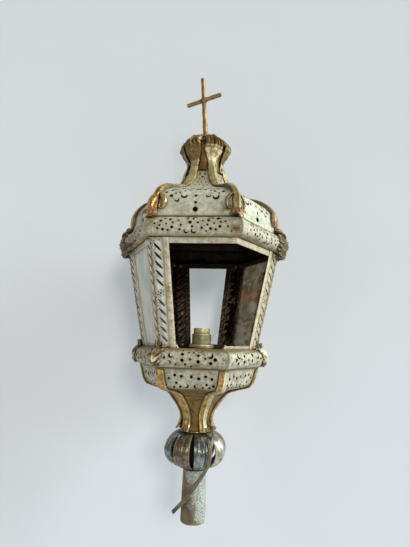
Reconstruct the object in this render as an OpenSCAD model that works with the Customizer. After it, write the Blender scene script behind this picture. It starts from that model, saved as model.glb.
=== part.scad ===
// Processional lantern: a six-sided glazed cage between a pierced base and a pierced roof, carried on a pole
// socket with a petalled knob, and topped by a leaf crown and a cross.
// Millimetres, +Z up, origin at the centre of the pole socket's mouth.
// Hexagon sizes are corner radii. One corner lies on +X, so one face looks to -Y, which is the front.

/* [Pole socket] */
// Height of the pole socket
socket_h = 74; // [60:1:110]
// Radius of the socket at its mouth
socket_mouth_r = 19.2; // [18.6:0.1:24]
// Radius of the socket at its top
socket_top_r = 17.8; // [17.4:0.1:22]
// Radius of the bore for the pole
pole_r = 16; // [10:0.1:16.4]
// Thickness of the closed top of the socket
socket_cap_t = 6; // [3:0.5:12]

/* [Knob] */
// Height of the petals
knob_h = 51; // [40:1:70]
// Largest radius of the knob
knob_r = 48.5; // [40:0.1:58]
// Number of petals
petal_count = 8; // [6:1:10]
// Gap between neighbouring petals at their widest place
petal_gap = 8.4; // [4:0.1:10]
// Thickness of a petal
petal_t = 1.8; // [1.2:0.1:3]
// How far the long edges of a petal drop behind its middle
petal_drop = 4; // [0:0.1:6]
// Radius of the core tube
core_r = 13; // [9:0.1:15]
// Wall of the core tube
core_wall = 1.5; // [1:0.1:3]
// Height of each knob collar
collar_h = 3; // [2:0.1:6]
// Radius of the lower collar
low_collar_r = 20; // [18:0.1:24]
// Radius of the upper collar
high_collar_r = 24; // [22:0.1:28]

/* [Stem and bowl] */
// Height of the stem, from the upper collar to the bowl
stem_h = 53; // [40:1:80]
// Radius of the stem at its foot
stem_foot_r = 27; // [24.5:0.1:28]
// Radius of the neck of the stem
neck_r = 24.5; // [21:0.1:26]
// Height of the neck above the collar
neck_h = 14; // [9:0.5:18]
// Radius where the stem meets the bowl
stem_top_r = 46; // [40:0.5:54]
// Radius of the bowl at its lower edge
bowl_foot_r = 83; // [70:0.5:88]
// Radius of the bowl at the groove under the gallery
bowl_r = 95; // [91:0.5:100]
// Rise from the stem to the lower edge of the bowl
bowl_drop = 14; // [8:0.5:20]
// Height of the side of the bowl
bowl_h = 28.4; // [20:0.2:40]
// Radius of the hole that the lead comes out of
lead_hole_r = 3.6; // [3:0.1:5]
// Width of a gilt rib where it ends on the bowl
base_rib_w = 15; // [10:0.5:18]

/* [Gallery] */
// Height of the gallery cushion
gallery_h = 27.6; // [18:0.2:40]
// How far the gallery cushion bulges beyond its groove
gallery_swell = 10.6; // [6:0.2:16]
// Depth of the floor plate below the rim
floor_drop = 4; // [3:0.5:8]
// Thickness of the floor plate
floor_t = 1.2; // [0.8:0.1:3]
// Width of the leaf at the foot of each post
foot_leaf_w = 18; // [12:0.5:20]

/* [Cage] */
// Radius of the cage at the gallery rim
cage_bottom_r = 90; // [86:0.2:93]
// Radius of the cage at the lower edge of the top rail
cage_top_r = 121; // [113:0.5:125]
// Height of the cage from the gallery rim to the top rail
cage_h = 145.8; // [110:0.2:190]
// Height of the top rail
top_rail_h = 8; // [6:0.5:14]
// Height of the bottom rail above the gallery rim
bottom_rail_h = 4.5; // [4:0.5:10]
// Thickness of the rails
rail_t = 1.2; // [0.8:0.1:2]
// Width of a post's flange at the top
flange_top_w = 16.5; // [12:0.5:22]
// Width of a post's flange at the bottom
flange_bottom_w = 13; // [11:0.5:18]
// Thickness of the posts and glazing strips
sheet_t = 1; // [0.6:0.1:1.5]
// Radius of the bead along the fold of a post
bead_r = 2.6; // [1.2:0.1:3.2]
// Width of a slot in a post
slot_w = 2.4; // [1:0.1:2.8]
// Width of the finer slots in the two back posts
back_slot_w = 0.8; // [0.5:0.1:2]
// Distance between slots up a post
slot_pitch = 12.6; // [8:0.2:16]
// Width of a glazing strip
glazing_w = 8.5; // [5:0.5:10]
// Thickness of the glass
pane_t = 2; // [1.5:0.1:3]
// Radius of the rivet shanks
rivet_r = 1.2; // [0.8:0.1:1.6]

/* [Roof] */
// Height of the cornice cushion
cornice_h = 30; // [20:0.5:44]
// Largest radius of the cornice cushion
cornice_r = 137.5; // [130:0.5:146]
// Radius of the roof above the groove
roof_r = 119.8; // [112:0.2:124]
// Radius of the roof at its shoulder
shoulder_r = 84; // [70:0.5:96]
// Height of the roof from the groove to its shoulder
shoulder_h = 56; // [44:0.5:76]
// Radius of the roof at the foot of the crown
roof_neck_r = 35; // [31:0.5:40]
// Height of the hollow top from the shoulder to the crown
cap_h = 46.5; // [30:0.5:64]
// Wall of the pressed shells
shell_t = 1.2; // [0.8:0.1:2]
// Width of the leaf clasps on the cornice
cornice_leaf_w = 26; // [16:0.5:30]
// Width of the strap of a roof rib
roof_rib_w = 16; // [12:0.5:20]
// Radius of the scroll at the foot of a roof rib
scroll_r = 4.6; // [3:0.1:5.2]
// How far a roof rib stands off the roof between its ends
rib_stand = 4.5; // [0:0.1:7]

/* [Crown and cross] */
// Height of the crown core
crown_h = 65; // [50:1:90]
// Radius of the crown core at its waist
crown_waist_r = 22; // [17:0.5:24]
// Radius of the crown core at its belly
crown_belly_r = 30; // [23:0.5:32]
// Largest radius of the crown leaves
leaf_r = 39; // [36:0.5:46]
// Width of a crown leaf at its widest place
crown_leaf_w = 26; // [18:0.5:30]
// Lean of the cross
cross_lean = 4.4; // [0:0.1:10]
// Length of the upright above the ferrule
upright_l = 112; // [80:1:160]
// Height of the cross bar above the ferrule
bar_rise = 70; // [40:1:100]
// Length of the cross bar
bar_l = 66; // [40:1:100]
// Radius of the cross bar
bar_r = 3.3; // [2.2:0.1:3.4]
// Radius of the upright at its foot
upright_foot_r = 4.3; // [3.8:0.1:4.8]
// Radius of the upright at its tip
upright_tip_r = 3.5; // [3:0.1:4]
// Radius of the tenon that turns in the ferrule
tenon_r = 3; // [2:0.1:3.4]

/* [Lamp holder] */
// Distance of the lamp holder from the middle of the floor plate
holder_x = 4; // [0:0.5:8]
// Radius of the threaded barrel
barrel_r = 15.8; // [14.5:0.1:17]
// Height of the barrel above its base
barrel_h = 30; // [24:0.5:40]
// Radius of the bore for the lamp cap
lamp_bore_r = 11.2; // [9:0.1:11.4]
// Depth of the bore for the lamp cap
lamp_bore_h = 15; // [10:0.5:18]
// Radius of the shade ring
shade_ring_r = 19.8; // [18.6:0.1:24]
// Height of the shade ring
shade_ring_h = 4.8; // [3:0.1:7]
// Radius of the threaded nipple
nipple_r = 5; // [4.5:0.1:6]

/* [Turn button] */
// Length of the turn button
button_l = 11; // [8:0.5:14]
// Width of the turn button
button_w = 6.4; // [5:0.1:7.4]
// Thickness of the turn button
button_t = 1.6; // [1:0.1:2.5]

/* [Hidden] */
$fn = 64;

// Clearance between pieces that are soldered or seated together
seat = 0.2;
// Clearance of a piece that turns
run = 0.06;
// Clearance between a gilt strip and the shell below it
strip_gap = 0.35;
// How much a hexagon's radius falls for each millimetre sideways from its corner
fold = tan(30);

// Levels from the bottom up
pole_depth = socket_h - socket_cap_t;
z_petals = socket_h + collar_h;
z_petals_top = z_petals + knob_h;
z_stem = z_petals_top + collar_h;
z_bowl = z_stem + stem_h;
z_bowl_foot = z_bowl + bowl_drop;
z_groove = z_bowl_foot + bowl_h;
z_rim = z_groove + gallery_h;
z_floor = z_rim - floor_drop;
z_top_rail = z_rim + cage_h;
z_cornice = z_top_rail + top_rail_h;
z_roof = z_cornice + cornice_h;
z_shoulder = z_roof + shoulder_h;
z_cap = z_shoulder + cap_h;
z_crown = z_cap + crown_h;

// The cage's faces lean outwards; lengths up a face are measured along this slope
face_lean = atan((cage_top_r - cage_bottom_r) * cos(30) / cage_h);
post_low = (z_rim + 2 * seat - z_rim) / cos(face_lean);
post_high = (z_cornice - z_rim - seat) / cos(face_lean);
pane_low = (bottom_rail_h + seat) / cos(face_lean);
pane_high = (cage_h - seat - (pane_t + 2 * sheet_t) * sin(face_lean)) / cos(face_lean);

// Angle from one corner of the lantern to the next, compass angle of each post and of the middle of each face
corner = 360 / 6;
POST_RIGHT = 0;
POST_BACK_RIGHT = POST_RIGHT + corner;
POST_BACK_LEFT = POST_BACK_RIGHT + corner;
POST_LEFT = POST_BACK_LEFT + corner;
POST_FRONT_LEFT = POST_LEFT + corner;
POSTS = [POST_RIGHT, POST_BACK_RIGHT, POST_BACK_LEFT, POST_LEFT, POST_FRONT_LEFT];
FACE_FRONT = POST_FRONT_LEFT + corner / 2;
FACE_BACK_RIGHT = POST_BACK_RIGHT - corner / 2;
FACE_BACK_LEFT = POST_LEFT - corner / 2;
FACE_LEFT = POST_LEFT + corner / 2;

// Compass angle to which the cross leans, and that of its bar
CROSS_TO = 187;
BAR_TO = -22;
ferrule_h = 8;
ferrule_spigot_h = 6;
ferrule_spigot_r = tenon_r + 2.6;
cross_nut_h = 4;

// Levels of the lamp holder
z_base = z_floor + seat;
base_h = 3.2;
base_flange_r = barrel_r + 2.6;
z_barrel = z_base + base_h + seat;
z_barrel_top = z_barrel + barrel_h;
holder_rim_h = 8;
holder_neck_r = lamp_bore_r + 0.8;
insulator_h = 9;
z_lamp_stop = z_barrel_top - lamp_bore_h;

// The turn button lies halfway up the front left post's strip
button_up = 0.58 * cage_h;
button_rivet_r = 1.5;

// Route of the flex from inside the stem's hole to its bare end, and of the lead inside the stem
flex_r = 2.3;
FLEX_ROUTE = [
    [10, -5, 142], [15, -7.5, 141], [20, -10, 140], [25, -13, 137.5], [28, -18, 134.5], [29, -25, 130.5],
    [29, -35, 125], [27.6, -42, 118], [26.1, -45.2, 109], [25.1, -45.2, 99], [24.1, -43, 90],
    [20, -34.5, 81], [15, -28, 72], [10, -24, 63.5], [4, -23, 54.5], [-2.5, -23, 45.5], [-9, -21.5, 37],
    [-16.5, -19, 28], [-23.5, -15.5, 20], [-29, -12, 13.5]
];
LEAD_ROUTE = [
    [4, 0, 257], [4, 0, 245], [4, 0, 232], [3, 0, 215], [0, 0, 190],
    [-2, 0.5, 165], [-1, 0, 151], [5, -2.5, 143],
    [10, -5, 142]
];

lead_out = (FLEX_ROUTE[1] - FLEX_ROUTE[0]) / norm(FLEX_ROUTE[1] - FLEX_ROUTE[0]);

// Point list of a cubic curve
function curve(a, b, c, d, n) = [
    for (i = [0 : n])
        let (t = i / n, s = 1 - t)
        s * s * s * a + 3 * s * s * t * b + 3 * s * t * t * c + t * t * t * d
];
function but_first(list) = [for (i = [1 : len(list) - 1]) list[i]];
function from_to(list, a, b) = [for (i = [a : b]) list[i]];
function backwards(list) = [for (i = [len(list) - 1 : -1 : 0]) list[i]];
function unit(v) = v / norm(v);

// Direction of a path at point i, and its outward normal for a path that runs upwards
function along(path, i) = unit(path[min(i + 1, len(path) - 1)] - path[max(i - 1, 0)]);
function outward(path, i) = let (t = along(path, i)) [t[1], -t[0]];
// Inner side of a shell's outline, never lower than its foot
function inset(path, d) = [
    for (i = [0 : len(path) - 1])
        let (p = path[i] - d * outward(path, i))
        [p[0], max(p[1], path[0][1])]
];

// Corner outlines of the pressed shells, from the bottom up
stem_path = concat(
    curve([stem_foot_r, z_stem + seat], [neck_r, z_stem + 0.3 * neck_h], [neck_r, z_stem + 0.6 * neck_h],
        [neck_r, z_stem + neck_h], 4),
    but_first(curve([neck_r, z_stem + neck_h], [neck_r, z_stem + neck_h + 0.36 * (stem_h - neck_h)],
        [(neck_r + stem_top_r) / 2, z_bowl - 0.33 * (stem_h - neck_h)], [stem_top_r, z_bowl], 8))
);
bowl_path = concat(
    curve([stem_top_r, z_bowl + seat], [stem_top_r + 9, z_bowl + 0.6 * bowl_drop],
        [bowl_foot_r - 13, z_bowl_foot - 0.3 * bowl_drop], [bowl_foot_r, z_bowl_foot], 5),
    but_first(curve([bowl_foot_r, z_bowl_foot], [bowl_foot_r + 7, z_bowl_foot + 0.2 * bowl_h],
        [bowl_r - 6, z_groove - 0.3 * bowl_h], [bowl_r, z_groove], 6))
);
gallery_rim_r = cage_bottom_r + 0.6;
// Corner radius of the floor plate: between the gallery's rim and its swell
floor_r = gallery_rim_r + 0.46875 * (bowl_r + 1 + gallery_swell - gallery_rim_r);
gallery_path = curve(
    [bowl_r + 1, z_groove + seat], [bowl_r + 1 + 1.6 * gallery_swell, z_groove + 0.3 * gallery_h],
    [bowl_r + 1 + gallery_swell, z_rim], [gallery_rim_r, z_rim], 10);
cornice_path = concat(
    curve([cage_r(z_cornice) + 0.2, z_cornice + seat], [cornice_r + 1, z_cornice + seat],
        [cornice_r + 5.5, z_roof - 0.4 * cornice_h], [roof_r + 7.5, z_roof - 2], 10),
    [[roof_r + 2, z_roof]]
);
roof_path = concat(
    curve([roof_r + 3.2, z_roof + seat], [roof_r - 0.3, z_roof + 2.5], [roof_r - 0.5, z_roof + 8.5],
        [roof_r, z_roof + 14.5], 4),
    but_first(curve([roof_r, z_roof + 14.5], [roof_r + 0.7, z_roof + 0.6 * shoulder_h],
        [shoulder_r + 0.67 * (roof_r - shoulder_r), z_shoulder - 0.134 * shoulder_h],
        [shoulder_r, z_shoulder], 9)),
    but_first(curve([shoulder_r, z_shoulder], [0.69 * shoulder_r, z_shoulder + 0.161 * cap_h],
        [1.19 * roof_neck_r, z_cap - 0.56 * cap_h], [roof_neck_r, z_cap], 7))
);
crown_path = concat(
    curve([roof_neck_r - 1.5, z_cap + seat], [crown_waist_r + 3, z_cap + 4], [crown_waist_r, z_cap + 9],
        [crown_waist_r, z_cap + 0.26 * crown_h], 5),
    but_first(curve([crown_waist_r, z_cap + 0.26 * crown_h], [crown_waist_r, z_cap + 0.42 * crown_h],
        [crown_belly_r, z_cap + 0.5 * crown_h], [crown_belly_r, z_cap + 0.62 * crown_h], 5)),
    but_first(curve([crown_belly_r, z_cap + 0.62 * crown_h], [crown_belly_r, z_cap + 0.8 * crown_h],
        [crown_belly_r - 14, z_crown], [ferrule_spigot_r + 0.8, z_crown], 6))
);

// Radius of the cage at a height, and half the width of a face at a length up its slope
function cage_r(z) = cage_bottom_r + (cage_top_r - cage_bottom_r) * (z - z_rim) / cage_h;
function face_half(v) = cage_r(z_rim + v * cos(face_lean)) / 2;
function flange_w(v) = flange_bottom_w + (flange_top_w - flange_bottom_w) * v * cos(face_lean) / cage_h;
// Edges of the flange, the strip and the pane, measured from the middle of a face
function flange_in(v) = face_half(v) - flange_w(v);
function strip_out(v) = flange_in(v) - 0.1;
function strip_in(v) = strip_out(v) - glazing_w;
function pane_half(v) = strip_out(v) - sheet_t - 0.3;

// Triangles between rings of points; each ring has the same count and runs the same way round
function tube_sides(rings, n) = [
    for (i = [0 : rings - 2], j = [0 : n - 1])
        let (a = i * n + j, b = i * n + (j + 1) % n)
        each [[a, b, b + n], [a, b + n, a + n]]
];
// End caps of a strip whose rings run along its inside and back along its outside
function strip_cap(at, n, flip) = [
    for (j = [0 : n / 2 - 2])
        let (a = at + j, b = at + j + 1, c = at + n - 2 - j, d = at + n - 1 - j)
        each (flip ? [[a, c, b], [a, d, c]] : [[a, b, c], [a, c, d]])
];

// Hollow six-sided shell with the given outer corner outline
module hex_shell(path, wall) {
    rotate_extrude($fn = 6) polygon(concat(path, backwards(inset(path, wall))));
}

// Folded strip that lies over the corner of a hexagonal shell; half widths are given at each path point
module corner_strip(path, half, thick, ridge, hug) {
    across = [-1, -0.5, 0, 0.5, 1];
    rings = [
        for (i = [0 : len(path) - 1])
            let (n = outward(path, i))
            concat(
                [for (u = across) strip_point(path[i], n, u * half[i], strip_gap, hug)],
                [
                    for (u = backwards(across))
                        strip_point(path[i], n, u * half[i], strip_gap + thick + ridge * (1 - abs(u)), hug)
                ]
            )
    ];
    count = 2 * len(across);
    polyhedron(
        points = [for (ring = rings) each ring],
        faces = concat(tube_sides(len(rings), count), strip_cap(0, count, true),
            strip_cap((len(rings) - 1) * count, count, false))
    );
}
function strip_point(p, n, side, lift, hug) = [p[0] + lift * n[0] - abs(side) * hug, side, p[1] + lift * n[1]];

// Round tube along a list of points
module tube(route, r, sides) {
    rings = [
        for (i = [0 : len(route) - 1])
            let (t = along(route, i), x = unit(cross(t, [0.3, 0.9, 0.1])), y = cross(t, x))
            [for (j = [0 : sides - 1]) route[i] + r * (cos(360 * j / sides) * x + sin(360 * j / sides) * y)]
    ];
    last = (len(route) - 1) * sides;
    polyhedron(
        points = [for (ring = rings) each ring],
        faces = concat(
            [for (f = tube_sides(len(rings), sides)) backwards(f)],
            [for (j = [1 : sides - 2]) [0, j, j + 1]],
            [for (j = [1 : sides - 2]) [last, last + j + 1, last + j]]
        )
    );
}

// Puts a shape drawn flat onto a face of the cage: x along the face, y up its slope, z outwards
module on_face(angle) {
    rotate([0, 0, angle])
        translate([cage_bottom_r * cos(30), 0, z_rim])
            rotate([0, face_lean, 0])
                rotate([90, 0, 90])
                    children();
}

// Runs along the cross: z up the leaning upright, x along its bar
module on_cross() {
    translate([0, 0, z_crown])
        rotate([0, 0, CROSS_TO])
            rotate([0, cross_lean, 0])
                rotate([0, 0, BAR_TO - CROSS_TO])
                    children();
}

module washer_ring(outer, inner, low, high) {
    translate([0, 0, low])
        difference() {
            cylinder(r = outer, h = high - low);
            translate([0, 0, -1]) cylinder(r = inner, h = high - low + 2);
        }
}

module pole_socket() {
    color("#6f6a52")
        difference() {
            cylinder(r1 = socket_mouth_r, r2 = socket_top_r, h = socket_h);
            translate([0, 0, -1]) cylinder(r = pole_r, h = pole_depth + 1);
        }
}

module core_tube() {
    color("#2a1f14") washer_ring(core_r, core_r - core_wall, socket_h + seat, z_stem + neck_h / 2);
}

module knob_collar_low() {
    color("#4a3a22") washer_ring(low_collar_r, core_r + seat, socket_h + seat, z_petals - seat);
}

module knob_collar_high() {
    color("#6e5a34") washer_ring(high_collar_r, core_r + seat, z_petals_top + seat, z_stem);
}

// One point of a petal: up is -1 to 1 from foot to tip, side is -1 to 1 across, deep is the distance inwards
function petal_point(up, side, deep) =
    let (
        swing = 87 * up,
        full = cos(swing),
        rise = sin(swing),
        end_r = up < 0 ? low_collar_r - 2.5 : high_collar_r - 4,
        r = end_r + (knob_r - end_r) * full,
        half = 180 / petal_count - petal_gap * (0.08 + 0.92 * full) / 2 / r * 180 / PI,
        out = r - petal_drop * full * side * side - deep * cos(swing)
    )
    [out * cos(side * half), out * sin(side * half), z_petals + knob_h / 2 * (1 + rise) - deep * sin(swing)];

module petal() {
    steps = 10;
    across = [-1, -0.67, -0.33, 0, 0.33, 0.67, 1];
    count = 2 * len(across);
    rings = [
        for (i = [0 : steps])
            let (up = 2 * i / steps - 1)
            concat(
                [for (u = across) petal_point(up, u, petal_t)],
                [for (u = backwards(across)) petal_point(up, u, 0)]
            )
    ];
    polyhedron(
        points = [for (ring = rings) each ring],
        faces = concat(
            tube_sides(steps + 1, count),
            strip_cap(0, count, true),
            strip_cap(steps * count, count, false)
        )
    );
}

module knob_petals() {
    color("#787152")
        for (i = [0 : petal_count - 1])
            rotate([0, 0, FACE_FRONT + (i + 0.5) * 360 / petal_count]) petal();
}

module stem() {
    color("#7d6a3f")
        difference() {
            hex_shell(stem_path, shell_t);
            translate(FLEX_ROUTE[0])
                rotate([0, acos(lead_out[2]), atan2(lead_out[1], lead_out[0])])
                    cylinder(r = lead_hole_r, h = neck_r);
        }
}

// Gilt rib from the collar up the stem and the bowl to the gallery groove
base_rib_path = concat(but_first(stem_path), from_to(bowl_path, 1, len(bowl_path) - 2));
module base_rib(i) {
    n = len(base_rib_path) - 1;
    half = [for (k = [0 : n]) base_rib_w * (0.267 + 0.233 * k / n)];
    color("#9a7a42") rotate([0, 0, corner * i]) corner_strip(base_rib_path, half, 1.4, 1.8, fold);
}

module bowl() {
    color("#86826c") hex_shell(bowl_path, shell_t);
}

module gallery() {
    color("#86806a") hex_shell(gallery_path, shell_t);
}

// Leaf over the gallery's corner that covers the foot of each post
foot_leaf_path = concat(from_to(gallery_path, 2, 7), [
    [cage_r(z_rim + 4) + 5.5, z_rim + 4],
    [cage_r(z_rim + 10) + 5, z_rim + 10]
]);
module foot_leaves() {
    half = foot_leaf_w / 18 * [3, 6, 8, 9, 9, 8.5, 7, 3];
    color("#6b4f2a")
        for (a = POSTS)
            rotate([0, 0, a]) corner_strip(foot_leaf_path, half, 1.4, 1.6, fold);
}

module floor_plate() {
    color("#3a3122")
        translate([0, 0, z_floor - floor_t])
            difference() {
                linear_extrude(floor_t) circle(r = floor_r, $fn = 6);
                translate([holder_x, 0, -1]) cylinder(r = nipple_r + seat, h = floor_t + 2);
            }
}

// Six-sided rail in the plane of the cage's faces
module rail(low, high) {
    rotate_extrude($fn = 6)
        polygon([
            [cage_r(low) - rail_t / cos(30), low],
            [cage_r(low), low],
            [cage_r(high), high],
            [cage_r(high) - rail_t / cos(30), high]
        ]);
}

// The front side has lost its upstand with its pane; only the part below the gallery's rim is left there
module bottom_rail() {
    color("#b9ae8c")
        difference() {
            rail(z_floor + seat, z_rim + bottom_rail_h);
            at_rivets(rivet_low) rivet_hole();
            on_face(FACE_FRONT)
                translate([-strip_in(pane_low), -seat, -2 * rail_t])
                    cube([strip_in(pane_low) + cage_bottom_r / 2 - rail_t, 2 * bottom_rail_h, 4 * rail_t]);
        }
}

module top_rail() {
    color("#a08f68")
        difference() {
            rail(z_top_rail, z_cornice);
            at_rivets(rivet_high) rivet_hole();
        }
}

// Rivets hold the middle of each flange to both rails
rivet_low = bottom_rail_h / 2 / cos(face_lean);
rivet_high = (cage_h + top_rail_h / 2) / cos(face_lean);
module at_rivets(v) {
    for (a = POSTS, side = [-1, 1])
        on_face(a - side * 30)
            translate([side * (face_half(v) - flange_w(v) / 2), v, 0])
                children();
}
module rivet_hole() {
    translate([0, 0, -4]) cylinder(r = rivet_r + run, h = 8);
}

module rivet() {
    outside = sheet_t + 0.05 + seat;
    translate([0, 0, -rail_t - seat]) cylinder(r = rivet_r, h = outside + rail_t + seat);
    translate([0, 0, outside]) cylinder(r1 = rivet_r + 0.8, r2 = rivet_r, h = 0.9);
    translate([0, 0, -rail_t - seat - 0.9]) cylinder(r1 = rivet_r, r2 = rivet_r + 0.8, h = 0.9);
}

module rivets() {
    color("#8d7a52") {
        at_rivets(rivet_low) rivet();
        at_rivets(rivet_high) rivet();
    }
}

// Slots run down to the right as seen from outside, with a rosette halfway up
module flange_cuts(side, wide) {
    first = 0.09 * cage_h;
    middle = 0.53 * cage_h;
    low = [for (k = [0 : 4]) first + k * slot_pitch];
    high = [for (k = [1 : 5]) middle + 2 + k * slot_pitch];
    for (v = concat(low, high))
        translate([side * (face_half(v) - flange_w(v) / 2), v])
            rotate(-45) {
                square([flange_w(v) * 0.95, wide], center = true);
                for (e = [-1, 1]) translate([e * flange_w(v) * 0.475, 0]) circle(d = wide, $fn = 24);
            }
    translate([side * (face_half(middle) - flange_w(middle) / 2), middle]) {
        circle(r = 1.6, $fn = 24);
        for (k = [0 : 5]) rotate(60 * k) translate([4, 0]) circle(r = 1.1, $fn = 24);
    }
    for (v = [rivet_low, rivet_high])
        translate([side * (face_half(v) - flange_w(v) / 2), v]) circle(r = rivet_r + run);
}

// One pierced flange of a post, on the side of the face given by side
module flange(side, wide) {
    over = sheet_t * tan(30);
    translate([0, 0, 0.05])
        linear_extrude(sheet_t)
            difference() {
                polygon([
                    [side * flange_in(post_low), post_low],
                    [side * (face_half(post_low) + over), post_low],
                    [side * (face_half(post_high) + over), post_high],
                    [side * flange_in(post_high), post_high]
                ]);
                flange_cuts(side, wide);
            }
}

// Folded post: two pierced flanges in neighbouring faces, with a bead along the fold
module post(angle) {
    low = [cage_r(z_rim + 3) + sheet_t, z_rim + 3];
    high = [cage_r(z_cornice - 1) + sheet_t, z_cornice - 1];
    wide = angle == POST_BACK_RIGHT || angle == POST_BACK_LEFT ? back_slot_w : slot_w;
    color("#8f8a74") {
        on_face(angle - 30) flange(1, wide);
        on_face(angle + 30) flange(-1, wide);
        rotate([0, 0, angle])
            translate([low[0], 0, low[1]])
                rotate([0, atan((high[0] - low[0]) / (high[1] - low[1])), 0])
                    intersection() {
                        cylinder(r = bead_r, h = norm(high - low));
                        translate([0, -bead_r, 0]) cube([bead_r, 2 * bead_r, norm(high - low)]);
                    }
    }
}

// Angle strip beside a flange: a flat that shows, a leg beside the glass, and two tabs behind the glass
module glazing_strip(side, drilled) {
    difference() {
        translate([0, 0, 0.05])
            linear_extrude(sheet_t)
                polygon([
                    [side * strip_in(post_low), post_low],
                    [side * strip_out(post_low), post_low],
                    [side * strip_out(post_high), post_high],
                    [side * strip_in(post_high), post_high]
                ]);
        if (drilled)
            translate([side * (strip_in(button_up) + glazing_w / 2), button_up, -1])
                cylinder(r = button_rivet_r + run, h = 4);
    }
    depth = pane_t + 1.5 * sheet_t + 2 * seat;
    translate([0, 0, -depth])
        linear_extrude(depth + 0.1)
            polygon([
                [side * (strip_out(pane_low) - sheet_t), pane_low],
                [side * strip_out(pane_low), pane_low],
                [side * strip_out(pane_high), pane_high],
                [side * (strip_out(pane_high) - sheet_t), pane_high]
            ]);
    for (v = [0.2 * cage_h, 0.8 * cage_h])
        translate([side * (strip_out(v) - 3), v, -depth + 0.4 * sheet_t])
            cube([5, 7, 0.8 * sheet_t], center = true);
}

module glazing_strips() {
    color("#c3bd9f")
        for (a = POSTS, side = [-1, 1])
            on_face(a - side * 30) glazing_strip(side, a == POST_FRONT_LEFT && side == -1);
}

module pane(angle) {
    color("#9aa098", 0.6)
        on_face(angle)
            translate([0, 0, -pane_t - seat / 2])
                linear_extrude(pane_t)
                    polygon([
                        [-pane_half(pane_low), pane_low],
                        [pane_half(pane_low), pane_low],
                        [pane_half(pane_high), pane_high],
                        [-pane_half(pane_high), pane_high]
                    ]);
}

module cornice() {
    color("#8d8a73") hex_shell(cornice_path, shell_t);
}

// Leaf clasp on every cornice corner that still has one; its tip hangs below the cornice
cornice_leaf_path = concat([
    [cage_r(z_cornice) + 7.6, z_cornice - 8.3],
    [cage_r(z_cornice) + 10.6, z_cornice - 3.3]
], from_to(cornice_path, 3, 9));
module cornice_leaves() {
    half = cornice_leaf_w / 26 * [3, 7, 11, 13, 13, 13, 12, 10, 6];
    color("#7b6035")
        for (a = [POST_RIGHT, POST_BACK_RIGHT, POST_BACK_LEFT, POST_LEFT])
            rotate([0, 0, a]) corner_strip(cornice_leaf_path, half, 1.6, 1.8, fold);
}

module roof() {
    color("#a3a08c") hex_shell(roof_path, shell_t);
}

// Gilt rib: a broad leaf with a scroll at its foot, then a strap that bows over the shoulder
roof_rib_line = from_to(roof_path, 2, 16);
roof_rib_path = [
    for (k = [0 : len(roof_rib_line) - 1])
        roof_rib_line[k] + rib_stand * sin(180 * k / (len(roof_rib_line) - 1)) * outward(roof_rib_line, k)
];
module roof_rib(i) {
    half = [for (k = [0 : len(roof_rib_path) - 1]) roof_rib_w * (0.34 + 0.28 * sin(180 * min(1, k / 6)))];
    foot = roof_rib_path[0] + [scroll_r + 1, 1];
    color("#b0915a")
        rotate([0, 0, corner * i]) {
            corner_strip(roof_rib_path, half, 1.8, 2.2, fold);
            translate([foot[0], 0, foot[1]])
                rotate([90, 0, 0])
                    cylinder(r = scroll_r, h = 0.67 * roof_rib_w, center = true);
        }
}

module crown_core() {
    color("#5d4a2c") rotate_extrude() polygon(concat(crown_path, backwards(inset(crown_path, shell_t))));
}

// Six leaves that rise from the roof, draw in round the crown's waist and roll over its belly
crown_leaf_path = concat(
    from_to(roof_path, len(roof_path) - 4, len(roof_path) - 1),
    but_first(curve([roof_neck_r, z_cap], [roof_neck_r - 1, z_cap + 8], [crown_waist_r + 7, z_cap + 10],
        [crown_waist_r + 7, z_cap + 18], 3)),
    but_first(curve([crown_waist_r + 7, z_cap + 18], [crown_waist_r + 7, z_cap + 0.45 * crown_h],
        [leaf_r - 1, z_cap + 0.5 * crown_h],
        [leaf_r, z_cap + 0.66 * crown_h], 5)),
    but_first(curve([leaf_r, z_cap + 0.66 * crown_h], [leaf_r + 1, z_cap + 0.86 * crown_h],
        [leaf_r - 9, z_crown - 3],
        [leaf_r - 20, z_crown - 3], 5))
);
module crown_leaves() {
    half = crown_leaf_w / 26 * [4, 6, 6, 5.5, 5, 5, 5.5, 6.5, 8, 10, 12, 13, 12.5, 11, 9, 7, 4];
    color("#9a8252")
        for (i = [0 : 5])
            rotate([0, 0, corner * i]) corner_strip(crown_leaf_path, half, 1.4, 1.2, 0.25);
}

module ferrule() {
    color("#8a7346")
        on_cross()
            difference() {
                union() {
                    translate([0, 0, -ferrule_spigot_h])
                        cylinder(r = ferrule_spigot_r, h = ferrule_spigot_h + 1);
                    translate([0, 0, 0.8])
                        cylinder(r1 = ferrule_spigot_r + 2, r2 = upright_foot_r + 0.7, h = ferrule_h - 0.8);
                }
                translate([0, 0, -ferrule_spigot_h - 1])
                    cylinder(r = tenon_r + run, h = ferrule_spigot_h + ferrule_h + 2);
            }
}

module cross_upright() {
    low = ferrule_h + 0.3;
    tail = ferrule_spigot_h + 0.3 + cross_nut_h + 1;
    color("#a98d5c")
        on_cross() {
            translate([0, 0, low]) cylinder(r1 = upright_foot_r, r2 = upright_tip_r, h = upright_l);
            translate([0, 0, -tail]) cylinder(r = tenon_r, h = tail + low + 1);
        }
}

// Both arms of the bar, butted against the upright
module cross_bar() {
    at = ferrule_h + 0.3 + bar_rise;
    color("#a98d5c")
        on_cross()
            difference() {
                translate([0, 0, at]) rotate([0, 90, 0]) cylinder(r = bar_r, h = bar_l, center = true);
                translate([0, 0, at - 3 * bar_r]) cylinder(r = upright_foot_r + 0.1, h = 6 * bar_r);
            }
}

module cross_nut() {
    high = -ferrule_spigot_h - 0.3;
    color("#6b5a3a")
        on_cross()
            translate([0, 0, high - cross_nut_h])
                difference() {
                    cylinder(r = tenon_r * 1.95, h = cross_nut_h, $fn = 6);
                    translate([0, 0, -1]) cylinder(r = tenon_r + run, h = cross_nut_h + 2);
                }
}

module on_holder() {
    translate([holder_x, 0, 0]) children();
}

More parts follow.
